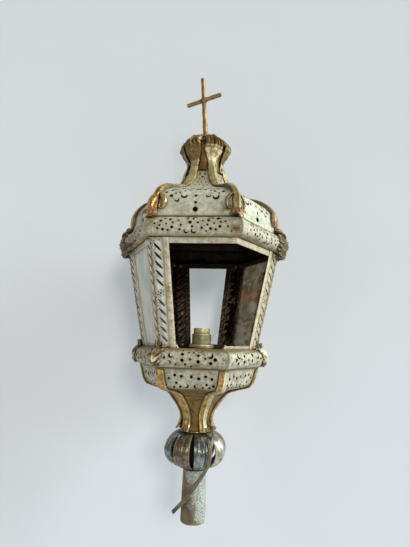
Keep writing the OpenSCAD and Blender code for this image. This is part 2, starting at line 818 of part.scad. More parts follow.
module nipple() {
    color("#8f7d4c") on_holder() washer_ring(nipple_r, nipple_r - 1.5, z_floor - 14, z_base + base_h);
}

module lock_nut() {
    color("#8f7d4c")
        on_holder()
            translate([0, 0, z_floor - floor_t - seat - 4])
                difference() {
                    cylinder(r = nipple_r * 1.7, h = 4, $fn = 6);
                    translate([0, 0, -1]) cylinder(r = nipple_r + run, h = 6);
                }
}

module holder_base() {
    color("#a4935f") on_holder() washer_ring(base_flange_r, nipple_r + run, z_base, z_base + base_h);
}

// Barrel with a threaded skirt, a narrower top under the rim and a bore that takes the lamp cap
module holder_barrel() {
    color("#b2a472")
        on_holder()
            difference() {
                union() {
                    translate([0, 0, z_barrel]) cylinder(r = barrel_r, h = barrel_h - holder_rim_h);
                    translate([0, 0, z_barrel]) cylinder(r = holder_neck_r, h = barrel_h);
                }
                translate([0, 0, z_barrel - 1]) cylinder(r = lamp_bore_r, h = barrel_h + 2);
                translate([0, 0, z_barrel - 1])
                    cylinder(r = lamp_bore_r + 0.5, h = z_lamp_stop - z_barrel + 1);
            }
}

// Smooth ring screwed over the top of the barrel, rounded at its upper edge
module holder_rim() {
    low = z_barrel_top - holder_rim_h + seat;
    high = z_barrel_top + 0.8;
    round_r = 1;
    out = holder_neck_r + 1.1;
    color("#bba868")
        on_holder()
            rotate_extrude()
                polygon(concat(
                    [[holder_neck_r + run, low], [out, low]],
                    [
                        for (a = [0 : 22.5 : 90])
                            [out - round_r + round_r * cos(a), high - round_r + round_r * sin(a)]
                    ],
                    [[holder_neck_r + run, high]]
                ));
}

module insulator() {
    color("#d8d2c4")
        on_holder()
            difference() {
                translate([0, 0, z_barrel]) cylinder(r = lamp_bore_r + 0.5 - seat, h = insulator_h);
                for (x = [-5.5, 5.5]) translate([x, 0, z_barrel + 3]) cylinder(r = 2 + run, h = insulator_h);
                translate([0, 0, z_barrel - 1]) cylinder(r = 3, h = 5);
            }
}

module plungers() {
    color("#b0a070")
        on_holder()
            for (x = [-5.5, 5.5])
                translate([x, 0, z_barrel + 3 + seat])
                    cylinder(r = 2, h = min(insulator_h, z_lamp_stop - z_barrel - 4));
}

module shade_ring() {
    low = z_barrel + 0.3;
    color("#a4935f") on_holder() washer_ring(shade_ring_r, barrel_r + run, low, low + shade_ring_h);
}

// Flat button with round ends that turns across the edge of the pane
module on_button() {
    on_face(FACE_FRONT)
        translate([-(strip_in(button_up) + glazing_w / 2), button_up, sheet_t + 0.05])
            children();
}
module turn_button() {
    reach = (button_l - button_w) / 2;
    color("#c9c3ae")
        on_button()
            translate([0, 0, 0.3])
                linear_extrude(button_t)
                    difference() {
                        union() {
                            square([button_w, 2 * reach], center = true);
                            for (e = [-1, 1]) translate([0, e * reach]) circle(d = button_w);
                        }
                        circle(r = button_rivet_r + run);
                    }
}

module button_rivet() {
    top = 0.3 + button_t + 0.3;
    back = -sheet_t - seat;
    color("#7a6a48")
        on_button() {
            translate([0, 0, back]) cylinder(r = button_rivet_r, h = top - back);
            translate([0, 0, top]) cylinder(r1 = button_rivet_r + 0.9, r2 = button_rivet_r, h = 0.8);
            translate([0, 0, back - 0.8]) cylinder(r = button_rivet_r + 0.9, h = 0.8);
        }
}

module lead() {
    color("#4d4029") tube(LEAD_ROUTE, flex_r, 8);
}

module flex() {
    color("#5c4e33") tube(FLEX_ROUTE, flex_r, 8);
}

pole_socket();
core_tube();
knob_collar_low();
knob_petals();
knob_collar_high();
stem();
for (i = [1 : 6])
    base_rib(i);
bowl();
gallery();
foot_leaves();
floor_plate();
bottom_rail();
post(POST_RIGHT);  // post_right
post(POST_BACK_RIGHT);  // post_back_right
post(POST_BACK_LEFT);  // post_back_left
post(POST_LEFT);  // post_left
post(POST_FRONT_LEFT);  // post_front_left
glazing_strips();
rivets();
pane(FACE_BACK_RIGHT);  // pane_back_right
pane(FACE_BACK_LEFT);  // pane_back_left
pane(FACE_LEFT);  // pane_left
top_rail();
cornice();
cornice_leaves();
roof();
for (i = [1 : 6])
    roof_rib(i);
crown_core();
crown_leaves();
ferrule();
cross_upright();
cross_bar();
cross_nut();
nipple();
lock_nut();
holder_base();
holder_barrel();
holder_rim();
insulator();
plungers();
shade_ring();
turn_button();
button_rivet();
lead();
flex();
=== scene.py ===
"""Looks of a processional lantern: pierced silvered brass, gilt leaf work, old glass and a brass lamp holder.

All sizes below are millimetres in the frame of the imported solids, and become metres when a piece is made. Corners of
the six-sided parts lie at azimuths of 60 degrees times a number; face k lies at 30 + 60 k, and face 4 is the front.
"""

from math import atan, copysign, cos, exp, pi, radians, sin, sqrt, tan

import bmesh
import bpy
import numpy as np
from mathutils import Matrix, Vector, noise
from mathutils.geometry import delaunay_2d_cdt


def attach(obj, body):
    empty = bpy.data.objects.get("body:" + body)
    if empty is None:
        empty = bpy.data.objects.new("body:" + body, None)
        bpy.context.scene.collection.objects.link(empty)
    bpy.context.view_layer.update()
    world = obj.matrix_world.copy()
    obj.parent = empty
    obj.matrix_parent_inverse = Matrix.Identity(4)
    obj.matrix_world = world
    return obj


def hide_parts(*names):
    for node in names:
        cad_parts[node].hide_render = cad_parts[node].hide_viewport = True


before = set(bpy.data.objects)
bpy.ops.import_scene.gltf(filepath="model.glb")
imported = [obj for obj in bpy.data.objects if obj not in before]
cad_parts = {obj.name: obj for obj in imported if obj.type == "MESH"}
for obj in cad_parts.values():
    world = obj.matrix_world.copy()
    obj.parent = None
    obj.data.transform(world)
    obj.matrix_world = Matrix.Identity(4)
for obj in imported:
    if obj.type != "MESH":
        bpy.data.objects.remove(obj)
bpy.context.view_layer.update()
MM = 0.001
TURN = 2 * pi
COS30 = cos(radians(30))
# How far the faces fall back beside a corner
FOLD = tan(radians(30))


# ---------------------------------------------------------------- camera

def look_along(name, data, eye, ahead, roll=0.0):
    """Camera or lamp at eye that looks along ahead, rolled about that line."""
    ahead = Vector(ahead).normalized()
    level = ahead.cross(Vector((0, 0, 1))).normalized()
    upright = level.cross(ahead)
    right = level * cos(roll) + upright * sin(roll)
    up = upright * cos(roll) - level * sin(roll)
    made = bpy.data.objects.new(name, data)
    turn = Matrix((right, up, -ahead)).transposed().to_4x4()
    made.matrix_world = Matrix.Translation(Vector(eye) * MM) @ turn
    bpy.context.scene.collection.objects.link(made)
    return made


PHOTO_HEIGHT = 547
FOCAL_PIXELS = 400.4
SENSOR = 36
camera_data = bpy.data.cameras.new("camera")
camera_data.sensor_fit = "VERTICAL"
camera_data.sensor_height = SENSOR
camera_data.lens = FOCAL_PIXELS / PHOTO_HEIGHT * SENSOR
camera_data.clip_start = 0.01
camera = look_along("camera", camera_data, (74.9, -645.7, 268.7), (-0.1047, 0.9816, 0.1597), radians(1.90))
bpy.context.scene.camera = camera
bpy.context.scene.view_settings.view_transform = "Standard"


# ---------------------------------------------------------------- materials

def linear(code):
    """sRGB hex colour as linear RGBA."""
    parts = [int(code[i:i + 2], 16) / 255 for i in (1, 3, 5)]
    return [c / 12.92 if c <= 0.04045 else ((c + 0.055) / 1.055) ** 2.4 for c in parts] + [1]


def add(tree, kind, inputs=None, stops=(), out=None, **settings):
    """Adds a node with its settings, sets or links its inputs, and gives a ramp its (position, grey) stops. Returns the
    output named out, or else the first one in use."""
    made = tree.nodes.new("ShaderNode" + kind)
    for i, (position, grey) in enumerate(stops):
        ramp = made.color_ramp.elements
        stop = ramp[i] if i < 2 else ramp.new(position)
        stop.position, stop.color = position, (grey, grey, grey, 1)
    for key, value in settings.items():
        setattr(made, key, value)
    for socket, value in (inputs or {}).items():
        if isinstance(value, bpy.types.NodeSocket):
            tree.links.new(value, made.inputs[socket])
        else:
            made.inputs[socket].default_value = linear(value) if isinstance(value, str) else value
    return made.outputs[out] if out else next((o for o in made.outputs if o.enabled), None)


def per_mm(size):
    """Texture scale at which a pattern's features are about this many millimetres across."""
    return 1 / (size * MM)


def new_material(name):
    """A material, its empty tree, and the object coordinates for its patterns."""
    made = bpy.data.materials.new(name)
    made.use_nodes = True
    made.node_tree.nodes.clear()
    return made, made.node_tree, add(made.node_tree, "TexCoord", out="Object")


def coated(tree, colour, *coats):
    """The colour under coats of others; each coat is a mask, the ramp stops that sharpen it, and its colour."""
    for mask, stops, over in coats:
        share = add(tree, "ValToRGB", {"Fac": mask}, stops)
        colour = add(tree, "Mix", {"Factor": share, "A": colour, "B": over}, data_type="RGBA")
    return colour


# Old varnish, where dirt lies thinly
STAIN = "#86703f"


def aged_metal(name, clean, tarnish, grime_and_shade, bright, cloud=14.0, tarnished=(0.42, 0.62), metallic=0.3,
               rough=(0.38, 0.6), grain=2.2, bump=0.25, hollow=5.0, speck=0.0, painted_shade=0.8, rub=0.35, toned=None):
    """Old plated sheet metal: clean metal, clouds of tarnish, rubbed edges, dirt round cuts and along edges, which is
    stain where it is thin and dark where it is thick, and dark dirt with painted shade in hollows. cloud, grain and
    hollow are sizes in mm. toned gives a second colour and the heights, in mm, at which it begins and is full."""
    made, tree, place = new_material(name)
    clouds = add(tree, "TexNoise", {"Vector": place, "Scale": per_mm(cloud), "Detail": 7.0, "Roughness": 0.66,
                                    "Distortion": 0.6})
    fine = add(tree, "TexNoise", {"Vector": place, "Scale": per_mm(grain), "Detail": 4.0, "Roughness": 0.7})
    body = coated(tree, clean, (clouds, [(tarnished[0], 0), (tarnished[1], 1)], tarnish))
    if toned:
        colour, begins, full = toned
        height = add(tree, "SeparateXYZ", {"Vector": place}, out="Z")
        reach = add(tree, "MapRange", {"Value": height, "From Min": begins * MM, "From Max": full * MM})
        # The edge of the toned part wanders with the clouds
        reach = add(tree, "Math", {0: clouds, 1: 0.9, 2: reach}, operation="MULTIPLY_ADD")
        reach = add(tree, "MapRange", {"Value": reach, "From Min": 0.5, "From Max": 1.25})
        body = add(tree, "Mix", {"Factor": reach, "A": body, "B": colour}, data_type="RGBA")
    edge = add(tree, "NewGeometry", out="Pointiness")
    caked = add(tree, "Attribute", out="Fac", attribute_name="dirt")
    caked = add(tree, "Math", {0: caked, 1: fine}, operation="MULTIPLY")
    closed = add(tree, "AmbientOcclusion", {"Distance": hollow * MM}, out="AO", samples=6)
    # In turn: stipple of dirt left in the grain by polishing, rubbed edges, dirt caked round the cuts and along the
    # edges of the sheet, and grime with painted shade where the surface faces something close by
    body = coated(tree, body, (fine, [(0.37, 0.3 + speck), (0.47, 0)], grime_and_shade), (edge, [(0.53, 0), (0.64, rub)], bright),
                  (caked, [(0.06, 0), (0.24, 0.8)], STAIN), (caked, [(0.20, 0), (0.48, 0.95)], grime_and_shade),
                  (closed, [(0.35, painted_shade), (0.92, 0)], grime_and_shade))
    shine = add(tree, "MapRange", {"Value": clouds, "From Min": 0.3, "From Max": 0.7, "To Min": rough[0],
                                   "To Max": rough[1]})
    relief = add(tree, "Bump", {"Height": fine, "Strength": bump, "Distance": 0.4 * MM})
    relief = add(tree, "Bump", {"Height": clouds, "Strength": 0.3, "Distance": 1.2 * MM, "Normal": relief})
    shader = add(tree, "BsdfPrincipled", {"Base Color": body, "Metallic": metallic, "Roughness": shine,
                                          "Normal": relief})
    add(tree, "OutputMaterial", {"Surface": shader})
    return made


# Silvered brass sheet, raised and pierced by hand, then left to dull: grey-green with olive clouds and dark stippling,
# matt from a century of polish and weather. The roof's neck has been rubbed through to brown-gold.
roof_silver = aged_metal("silvered_brass_roof", "#d0cfb9", "#aaa892", "#43361d", "#e8e7d8", cloud=11, metallic=0.2,
                         rough=(0.42, 0.6), bump=0.4, speck=0.2, toned=("#a19a78", 498, 530))
# The same sheet on the cornice, darker and more stippled, gold-brown along its lower edge
cornice_silver = aged_metal("silvered_brass_cornice", "#c5c2ac", "#999379", "#3f321b", "#e6e3d2", cloud=9, metallic=0.2,
                            rough=(0.44, 0.62), bump=0.5, speck=0.45, toned=("#8a7648", 413, 406))
# The gallery, left granular by the punch, with more dirt in its ground
gallery_silver = aged_metal("silvered_brass_stippled", "#bfbda8", "#8b8369", "#372914", "#f0e9d6", cloud=7,
                            metallic=0.2, rough=(0.44, 0.62), grain=2.6, bump=0.8, speck=0.65,
                            toned=("#8a6f48", 247, 253))
# The bowl, cooler above and gone gold-brown where it turns in to the stem
bowl_silver = aged_metal("silvered_brass_bowl", "#bebca8", "#8e886f", "#3d301a", "#e8e6d8", cloud=10, metallic=0.2,
                         rough=(0.42, 0.6), bump=0.45, speck=0.45, toned=("#7c6232", 204, 193))
# The posts: whiter plate, brown in the strokes of the feathering
post_silver = aged_metal("silvered_brass_posts", "#dcddd3", "#b7b09c", "#3f3019", "#f6f4ea", cloud=9,
                         tarnished=(0.48, 0.7), metallic=0.2, rough=(0.38, 0.58), bump=0.4, speck=0.15, hollow=3.5)
# The right hand post, rubbed down to a cream gold
post_cream = aged_metal("silvered_brass_post_rubbed", "#cdbf98", "#8f7650", "#2c1e0e", "#f6ecd0", cloud=8, metallic=0.2,
                        rough=(0.36, 0.56), bump=0.4, speck=0.3, hollow=3.5)
# Corner bead of the posts, worn to a brown-grey with bright crests
bead_metal = aged_metal("silvered_brass_bead", "#998a6e", "#5f4e34", "#20140a", "#ece4cf", cloud=5, rough=(0.40, 0.6),
                        grain=1.8, speck=0.3, rub=0.6)
# Back of the sheet: brass made near black, painted shade for the inside of the lantern, where little light reaches
painted_shade = aged_metal("brass_back_painted_shade", "#2a1a12", "#120b07", "#070403", "#5a4029", cloud=9, rough=(0.55, 0.8), rub=0.6)


def shaded_feathering():
    """Inside of the posts: painted shade over feathered strokes, whose crests show brown in slanting lines."""
    made, tree, place = new_material("feathering_in_painted_shade")
    slant = add(tree, "Mapping", {"Vector": place, "Scale": (1.0, 0.0, -1.0)})
    lines = add(tree, "TexWave", {"Vector": slant, "Scale": TURN / 10 * per_mm(9.0), "Distortion": 9.0, "Detail": 3.0,
                                  "Detail Scale": 1.4}, out="Fac", bands_direction="DIAGONAL")
    fine = add(tree, "TexNoise", {"Vector": place, "Scale": per_mm(7), "Detail": 5.0, "Roughness": 0.7})
    crest = add(tree, "Math", {0: lines, 1: fine}, operation="MULTIPLY")
    crest = add(tree, "ValToRGB", {"Fac": crest}, [(0.38, 0), (0.62, 1)])
    colour = add(tree, "Mix", {"Factor": crest, "A": "#271a11", "B": "#94785c"}, data_type="RGBA")
    relief = add(tree, "Bump", {"Height": crest, "Strength": 0.5, "Distance": 0.8 * MM})
    shader = add(tree, "BsdfPrincipled", {"Base Color": colour, "Roughness": 0.55, "Metallic": 0.3, "Normal": relief})
    add(tree, "OutputMaterial", {"Surface": shader})
    return made


post_inside = shaded_feathering()
# Fire gilding rubbed thin: yellow metal, brown where the size shows, cream on the edges
gilt = aged_metal("worn_gilding", "#d6ac64", "#7c5c2c", "#2a1b0a", "#f0deb2", cloud=7, tarnished=(0.40, 0.60),
                  metallic=0.6, rough=(0.24, 0.42), speck=0.25, rub=0.6)
# The same gilding made cream on the side to the light: a painted highlight
lit_side_gilt = aged_metal("gilding_painted_lit_side", "#ddd6b8", "#a8935f", "#41301a", "#faf3dc", cloud=9,
                        rough=(0.32, 0.5), speck=0.1)
# Dark toned gilding of the stem between its ribs
stem_gilt = aged_metal("toned_gilding", "#8c6c36", "#5b431f", "#1f1307", "#b8945a", cloud=8, metallic=0.5,
                       rough=(0.34, 0.55), speck=0.1)
# Olive gilding of the straps that climb the roof's neck
olive_gilt = aged_metal("olive_gilding", "#bbab78", "#8b794c", "#33260f", "#d8cca2", cloud=9, metallic=0.35,
                        rough=(0.36, 0.56), speck=0.15)
# Gilding that has gone brown with old varnish, on the scroll straps and the crown
brown_gilt = aged_metal("varnished_gilding", "#9a7a48", "#684f2c", "#20150a", "#cdb27e", cloud=6, tarnished=(0.38, 0.6),
                        metallic=0.4, rough=(0.34, 0.56), grain=1.8, speck=0.2)
# Copper-red brass of the ridged rolls
roll_copper = aged_metal("coppery_roll_brass", "#94683f", "#5f4227", "#1f130a", "#d9bd8d", cloud=5, metallic=0.4,
                         rough=(0.36, 0.58), grain=1.6, speck=0.2)
# Leaves at the feet of the posts: brown, dark in the veins
leaf_brown = aged_metal("brown_leaf_brass", "#84603e", "#4d3623", "#130a05", "#dcc9a0", cloud=5,
                        bump=0.6, speck=0.5, hollow=6, painted_shade=1.0, rub=0.6)
# Acanthus of the cornice corners: grey-brown and matt, dark in its veins
leaf_grey = aged_metal("grey_brown_leaf_brass", "#957e56", "#59482c", "#130c05", "#cdbb8f", cloud=5, metallic=0.25,
                       rough=(0.45, 0.66), grain=2.4, bump=0.8, speck=0.6, hollow=6, painted_shade=1.0, rub=0.5)
# Pale silver-gilt of the scroll tips; on the crown leaf that faces the light it is a painted highlight
pale_gilt = aged_metal("pale_silver_gilt", "#e4d7ac", "#a28551", "#2f200d", "#faf2d6", cloud=6,
                       rough=(0.32, 0.5), grain=2.0, speck=0.35, hollow=6, painted_shade=0.95)
# Polished silver plate of the knob petals, grey-green where it has sulphided; a cream copy of it is a painted highlight
# on the petal towards the light, and a brown one is plate worn to brass
petal_silver = aged_metal("knob_silver_plate", "#98a09b", "#5b615b", "#15100c", "#eceae0", cloud=12, metallic=0.85,
                          rough=(0.2, 0.38), grain=1.4, bump=0.12)
petal_painted_lit = aged_metal("knob_plate_painted_highlight", "#c2bca8", "#756e5c", "#2a2016", "#fbf8ec", cloud=8, metallic=0.6,
                        rough=(0.24, 0.42), bump=0.15, speck=0.2)
petal_brown = aged_metal("knob_plate_worn_to_brass", "#84765e", "#4a3e30", "#170e08", "#efe4c8", cloud=6, metallic=0.6,
                         rough=(0.24, 0.42), bump=0.15, speck=0.3, rub=0.6)
# Lacquered brass of the lamp holder, turned on a lathe
holder_brass = aged_metal("turned_brass", "#d0c493", "#ad9e6e", "#33270f", "#f3ecc8", cloud=7, metallic=0.35,
                          rough=(0.34, 0.48), grain=0.9, bump=0.08, hollow=2.5)
# Brass rod of the cross, brazed and toned brown by handling
cross_brass = aged_metal("toned_brass_rod", "#a98a58", "#765931", "#32210f", "#d6bd8c", cloud=7, metallic=0.4,
                         rough=(0.34, 0.52), grain=1.6, hollow=3.0, speck=0.1)
# Sawn ends of the bar, dark
sawn_end = aged_metal("sawn_brass_end", "#4d4030", "#332718", "#150d06", "#83704f", cloud=3,
                      rough=(0.45, 0.65), grain=0.8)
# Blackened iron and brass inside the knob
dark_core = aged_metal("blackened_core", "#241a11", "#140d08", "#060403", "#4a3a26", cloud=8,
                       rough=(0.5, 0.75), grain=1.2)
# Rolled strip along the glass: silvered, warm where the brass comes through
strip_metal = aged_metal("rolled_glazing_strip", "#cec8b2", "#ad9972", "#5e4d30", "#f8f1dd", cloud=10, metallic=0.25,
                         rough=(0.34, 0.52), speck=0.1)


# ---------------------------------------------------------------- mesh building

def curve(a, b, c, d, n=24):
    """Points of a cubic curve."""
    pts = []
    for i in range(n + 1):
        t = i / n
        s = 1 - t
        weights = (s ** 3, 3 * s * s * t, 3 * s * t * t, t ** 3)
        pts.append(tuple(sum(w * p[k] for w, p in zip(weights, (a, b, c, d))) for k in range(len(a))))
    return pts


def chain(*curves):
    """Curves that follow on from each other, as one path."""
    path = list(curves[0])
    for more in curves[1:]:
        path += list(more)[1:]
    return path


def run_along(line):
    """Distance from the start of a line to each of its points."""
    return np.concatenate([[0], np.cumsum(np.linalg.norm(np.diff(line, axis=0), axis=1))])


def spaced(path, n):
    """The path again, as n + 1 points at equal distances."""
    pts = np.array(path, float)
    run = run_along(pts)
    at = np.linspace(0, run[-1], n + 1)
    return np.stack([np.interp(at, run, pts[:, k]) for k in range(pts.shape[1])], axis=1)


def through(points, n):
    """Smooth line through the given points, as n + 1 points at equal distances."""
    pts = [Vector(p) for p in points]
    pts = [2 * pts[0] - pts[1]] + pts + [2 * pts[-1] - pts[-2]]
    line = []
    for p0, p1, p2, p3 in zip(pts, pts[1:], pts[2:], pts[3:]):
        for k in range(12):
            t = k / 12
            line.append(tuple(0.5 * (2 * p1 + (p2 - p0) * t + (2 * p0 - 5 * p1 + 4 * p2 - p3) * t ** 2
                                     + (3 * p1 - p0 - 3 * p2 + p3) * t ** 3)))
    line.append(tuple(pts[-2]))
    return spaced(line, n)


def outward(line):
    """Unit normals of a line of (radius, height) points that runs upwards, on its outer side."""
    way = np.gradient(line, axis=0)
    way /= np.linalg.norm(way, axis=1)[:, None]
    return np.stack([way[:, 1], -way[:, 0]], axis=1)


def turned_to(azimuth, far, side, z):
    """Point that lies far out towards the azimuth, side to the left of it, at height z."""
    c, s = cos(radians(azimuth)), sin(radians(azimuth))
    return (far * c - side * s, far * s + side * c, z)


def about_z(degrees):
    return Matrix.Rotation(radians(degrees), 4, "Z")


def bell(x, middle, width):
    return exp(-((x - middle) / width) ** 2)


def climb(t, start, length):
    """0 up to start, then in a straight climb to 1."""
    return min(1, max(0, (t - start) / length))


def uneven(*place):
    """Smooth noise between about -1 and 1, the same for the same place on every run."""
    return noise.noise(Vector(place))


class Piece:
    """Points and faces of one piece, gathered before they become a mesh. A face's kind is its material's place, and a
    point's dirt, from 0 to 1, tells the material where dirt has caked."""

    def __init__(self):
        self.points, self.faces, self.kinds, self.dirt = [], [], [], {}

    def face(self, corners, kind):
        self.faces.append(tuple(corners))
        self.kinds.append(kind)

    def grid(self, rows, kind=0, wrap=False, caps=False):
        """Quads between rows of points; wrap closes each row, and caps close the first and last rows. kind is for all
        faces, or gives each by its row and column, with the caps in the row after the last."""
        kind_at = kind if callable(kind) else lambda row, column: kind
        start, n, last = len(self.points), len(rows[0]), len(rows) - 1
        for row in rows:
            self.points += [tuple(p) for p in row]
        for i in range(last):
            for j in range(n if wrap else n - 1):
                a, b = start + i * n + j, start + i * n + (j + 1) % n
                self.face((a, b, b + n, a + n), kind_at(i, j))
        if caps:
            self.face(range(start + n - 1, start - 1, -1), kind_at(last, 0))
            self.face(range(start + last * n, start + last * n + n), kind_at(last, 0))

    def turned(self, outline, n, centre=(0, 0), kind=0, ripple=None):
        """Outline of (radius, height) points turned about an upright axis; closed where its ends lie on the axis."""
        rows = []
        for a in (TURN * k / n for k in range(n)):
            grown = [r + (ripple(a, r, z) if ripple else 0) for r, z in outline]
            rows.append([(centre[0] + r * cos(a), centre[1] + r * sin(a), z) for r, (_, z) in zip(grown, outline)])
        self.grid(rows + rows[:1], kind)

    def moved(self, matrix, start=0):
        """Moves the points from start on."""
        self.points[start:] = [tuple(matrix @ Vector(p)) for p in self.points[start:]]


# Points closer than this are one point
WELD = 0.004


def make(name, node, piece, materials, body="lantern", sharp=38.0):
    """The finished object, in the place of a node: welded, facing outwards, smooth but for edges sharper than so many
    degrees, riding on its body."""
    mesh = bpy.data.meshes.new(name)
    mesh.from_pydata([Vector(p) * MM for p in piece.points], [], piece.faces)
    mesh.polygons.foreach_set("material_index", piece.kinds)
    dirt = mesh.attributes.new("dirt", "FLOAT", "POINT")
    dirt.data.foreach_set("value", [piece.dirt.get(i, 0.0) for i in range(len(piece.points))])
    for material in materials:
        mesh.materials.append(material)
    work = bmesh.new()
    work.from_mesh(mesh)
    bmesh.ops.remove_doubles(work, verts=work.verts, dist=WELD * MM)
    bmesh.ops.recalc_face_normals(work, faces=work.faces)
    work.to_mesh(mesh)
    work.free()
    mesh.polygons.foreach_set("use_smooth", [True] * len(mesh.polygons))
    mesh.set_sharp_from_angle(angle=radians(sharp))
    made = bpy.data.objects.new(name, mesh)
    bpy.context.scene.collection.objects.link(made)
    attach(made, body)
    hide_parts(node)
    return made


def lathed(name, node, outline, material, centre=(0, 0), n=72, ripple=None, body="lantern"):
    """Round piece turned from an outline."""
    piece = Piece()
    piece.turned(outline, n, centre, ripple=ripple)
    make(name, node, piece, [material], body)


# ---------------------------------------------------------------- pierced sheet

def dot(u, v, r):
    return [(u + r * cos(k * pi / 5), v + r * sin(k * pi / 5)) for k in range(10)]


def crescent(u, v, r, turn):
    """Moon-shaped cut with its hollow towards the angle turn."""
    turn = radians(turn)
    outer = [turn + radians(55 + 250 * k / 8) for k in range(9)]
    inner = [turn + radians(290 - 220 * k / 8) for k in range(1, 8)]
    line = [(u + r * cos(a), v + r * sin(a)) for a in outer]
    u, v = u + 0.45 * r * cos(turn), v + 0.45 * r * sin(turn)
    return line + [(u + 0.72 * r * cos(a), v + 0.72 * r * sin(a)) for a in inner]


def slit(u, v, length, width, turn, n=7):
    """Slot with pointed ends that swells towards its middle."""
    c, s = cos(radians(turn)), sin(radians(turn))
    side = [(length * (k / n - 0.5), width / 2 * sin(pi * k / n) ** 0.6) for k in range(n + 1)]
    line = side + [(x, -y) for x, y in side[-2:0:-1]]
    return [(u + x * c - y * s, v + x * s + y * c) for x, y in line]


def inside(p, loop):
    x, y = p
    odd = False
    for (ax, ay), (bx, by) in zip(loop, loop[1:] + loop[:1]):
        if (ay > y) != (by > y) and x < (bx - ax) * (y - ay) / (by - ay) + ax:
            odd = not odd
    return odd


def pierced_sheet(piece, outline, cuts, step, front, back, blind, caked=0.28, stained=lambda u, v: 0):
    """Sheet with real holes: flat outline and cuts are filled with triangles, then laid on a front and a back. A blind
    cut keeps its back, whose dark material is painted shade, so nothing shows through it. caked is how dirty the edges
    of the cuts are, and stained gives the dirt elsewhere."""
    loops = [outline] + cuts
    flat, edges = [], []
    for loop in loops:
        start = len(flat)
        flat += loop
        edges += [(start + i, start + (i + 1) % len(loop)) for i in range(len(loop))]
    fixed = np.array(flat)
    low, high = fixed.min(0), fixed.max(0)
    holes = fixed[len(outline):]
    for row in range(1, int((high[1] - low[1]) / step) + 1):
        v = low[1] + row * step
        for column in range(int((high[0] - low[0]) / step) + 1):
            p = (low[0] + (column + 0.5 * (row % 2)) * step, v)
            near = np.abs(fixed - p).max(axis=1) < 0.55 * step
            if near.any() or not inside(p, outline) or any(inside(p, cut) for cut in cuts):
                continue
            flat.append(p)
    spots, _, triangles, origin, _, _ = delaunay_2d_cdt([Vector(p) for p in flat], edges, [], 1, 1e-7)
    start = len(piece.points)
    count = len(spots)
    piece.points += [front(*p) for p in spots] + [back(*p) for p in spots]
    # Dirt lies within a few millimetres of the cuts, of the upper and lower ends and of the folds
    for i, p in enumerate(spots):
        near_cut = np.linalg.norm(holes - np.array(p), axis=1).min() if len(holes) else 99
        near_end = min(p[1] - low[1], high[1] - p[1])
        near_fold = np.linalg.norm(fixed[:len(outline)] - np.array(p), axis=1).min()
        piece.dirt[start + i] = max(caked * exp(-near_cut / 1.3), 0.85 * exp(-near_end / 2.6),
                                    0.45 * exp(-near_fold / 3.2), stained(*p))
    boxes = [(*np.min(cut, axis=0), *np.max(cut, axis=0)) for cut in cuts]
    for corners in triangles:
        x, y = (sum(spots[c][k] for c in corners) / 3 for k in (0, 1))
        if not inside((x, y), outline):
            continue
        hole = [i for i, (box, cut) in enumerate(zip(boxes, cuts))
                if box[0] < x < box[2] and box[1] < y < box[3] and inside((x, y), cut)]
        if not hole:
            piece.face([start + c for c in corners], 0)
        if not hole or blind(hole[0]):
            piece.face([start + count + c for c in reversed(corners)], 1)
    found = {}
    for new, olds in enumerate(origin):
        for old in olds:
            found[old] = start + new
    for a, b in edges:
        if a in found and b in found:
            piece.face((found[a], found[b], found[b] + count, found[a] + count), 1)


# Thickness of the shells, and the margin of a face in which its dents fade out
SHEET, CALM = 1.2, 6


def hex_shell(name, path, cuts_on, material, node, step=4.2, dent=0.8, clogged=(0, 1, 2), stains=()):
    """Six-sided raised shell with an outline of (corner radius, height); cuts_on(face) gives (u, height) shapes. On the
    clogged faces, those at the back, no cut goes through. dent is the depth of its dents. A stain is (face, u, height,
    reach along u, reach upwards, share)."""
    outer = spaced(path, 120)
    out = outward(outer)
    inner = outer - SHEET * out
    inner[:, 1] = np.maximum(inner[:, 1], outer[0, 1])
    heights = outer[:, 1]
    run = run_along(outer * (COS30, 1))
    piece = Piece()
    for k in range(6):
        def lay(u, v, line):
            half = np.interp(v, run, outer[:, 0]) / 2
            w = max(-1, min(1, u / half))
            r, z, n_r, n_z = (np.interp(v, run, column) for column in (*line.T, *out.T))
            fade = (1 - w * w) * min(1, v / CALM) * min(1, (run[-1] - v) / CALM)
            push = dent * fade * (uneven(u / 17, v / 15, 7.3 * k) + 0.5 * uneven(u / 6, v / 6, 3.1 * k) - 0.4)
            return turned_to(30 + 60 * k, r * COS30 + push * n_r, w * r / 2, z + push * n_z)

        def stained(u, v):
            z = np.interp(v, run, heights)
            patchy = max(0, 0.8 + 1.3 * uneven(u / 8, v / 7, 5.7 * k))
            here = [stain[1:] for stain in stains if stain[0] == k]
            return patchy * max([share * bell(u, at, wide) * bell(z, level, high)
                                 for at, level, wide, high, share in here], default=0)

        right = [(np.interp(s, run, outer[:, 0]) / 2, s) for s in np.linspace(0, run[-1], int(run[-1] / 3) + 1)]
        foot, top = right[0][0], right[-1][0]
        n_foot, n_top = (max(2, int(half / 2)) for half in (foot, top))
        outline = [(-foot + 2 * foot * i / n_foot, 0.0) for i in range(n_foot)] + right
        outline += [(top - 2 * top * i / n_top, run[-1]) for i in range(1, n_top)]
        outline += [(-u, s) for u, s in reversed(right)][:-1]
        cuts = []
        for shape in cuts_on(k):
            middle = sum(z for _, z in shape) / len(shape)
            s = np.interp(middle, heights, run)
            cuts.append([(u, s + z - middle) for u, z in shape])
        pierced_sheet(piece, outline, cuts, step, lambda u, v: lay(u, v, outer), lambda u, v: lay(u, v, inner),
                      lambda i: k in clogged, stained=stained)
    # The back of the sheet takes the near-black material, painted shade inside the shell
    make(name, node, piece, [material, painted_shade], sharp=32)


# ---------------------------------------------------------------- outlines of the shells

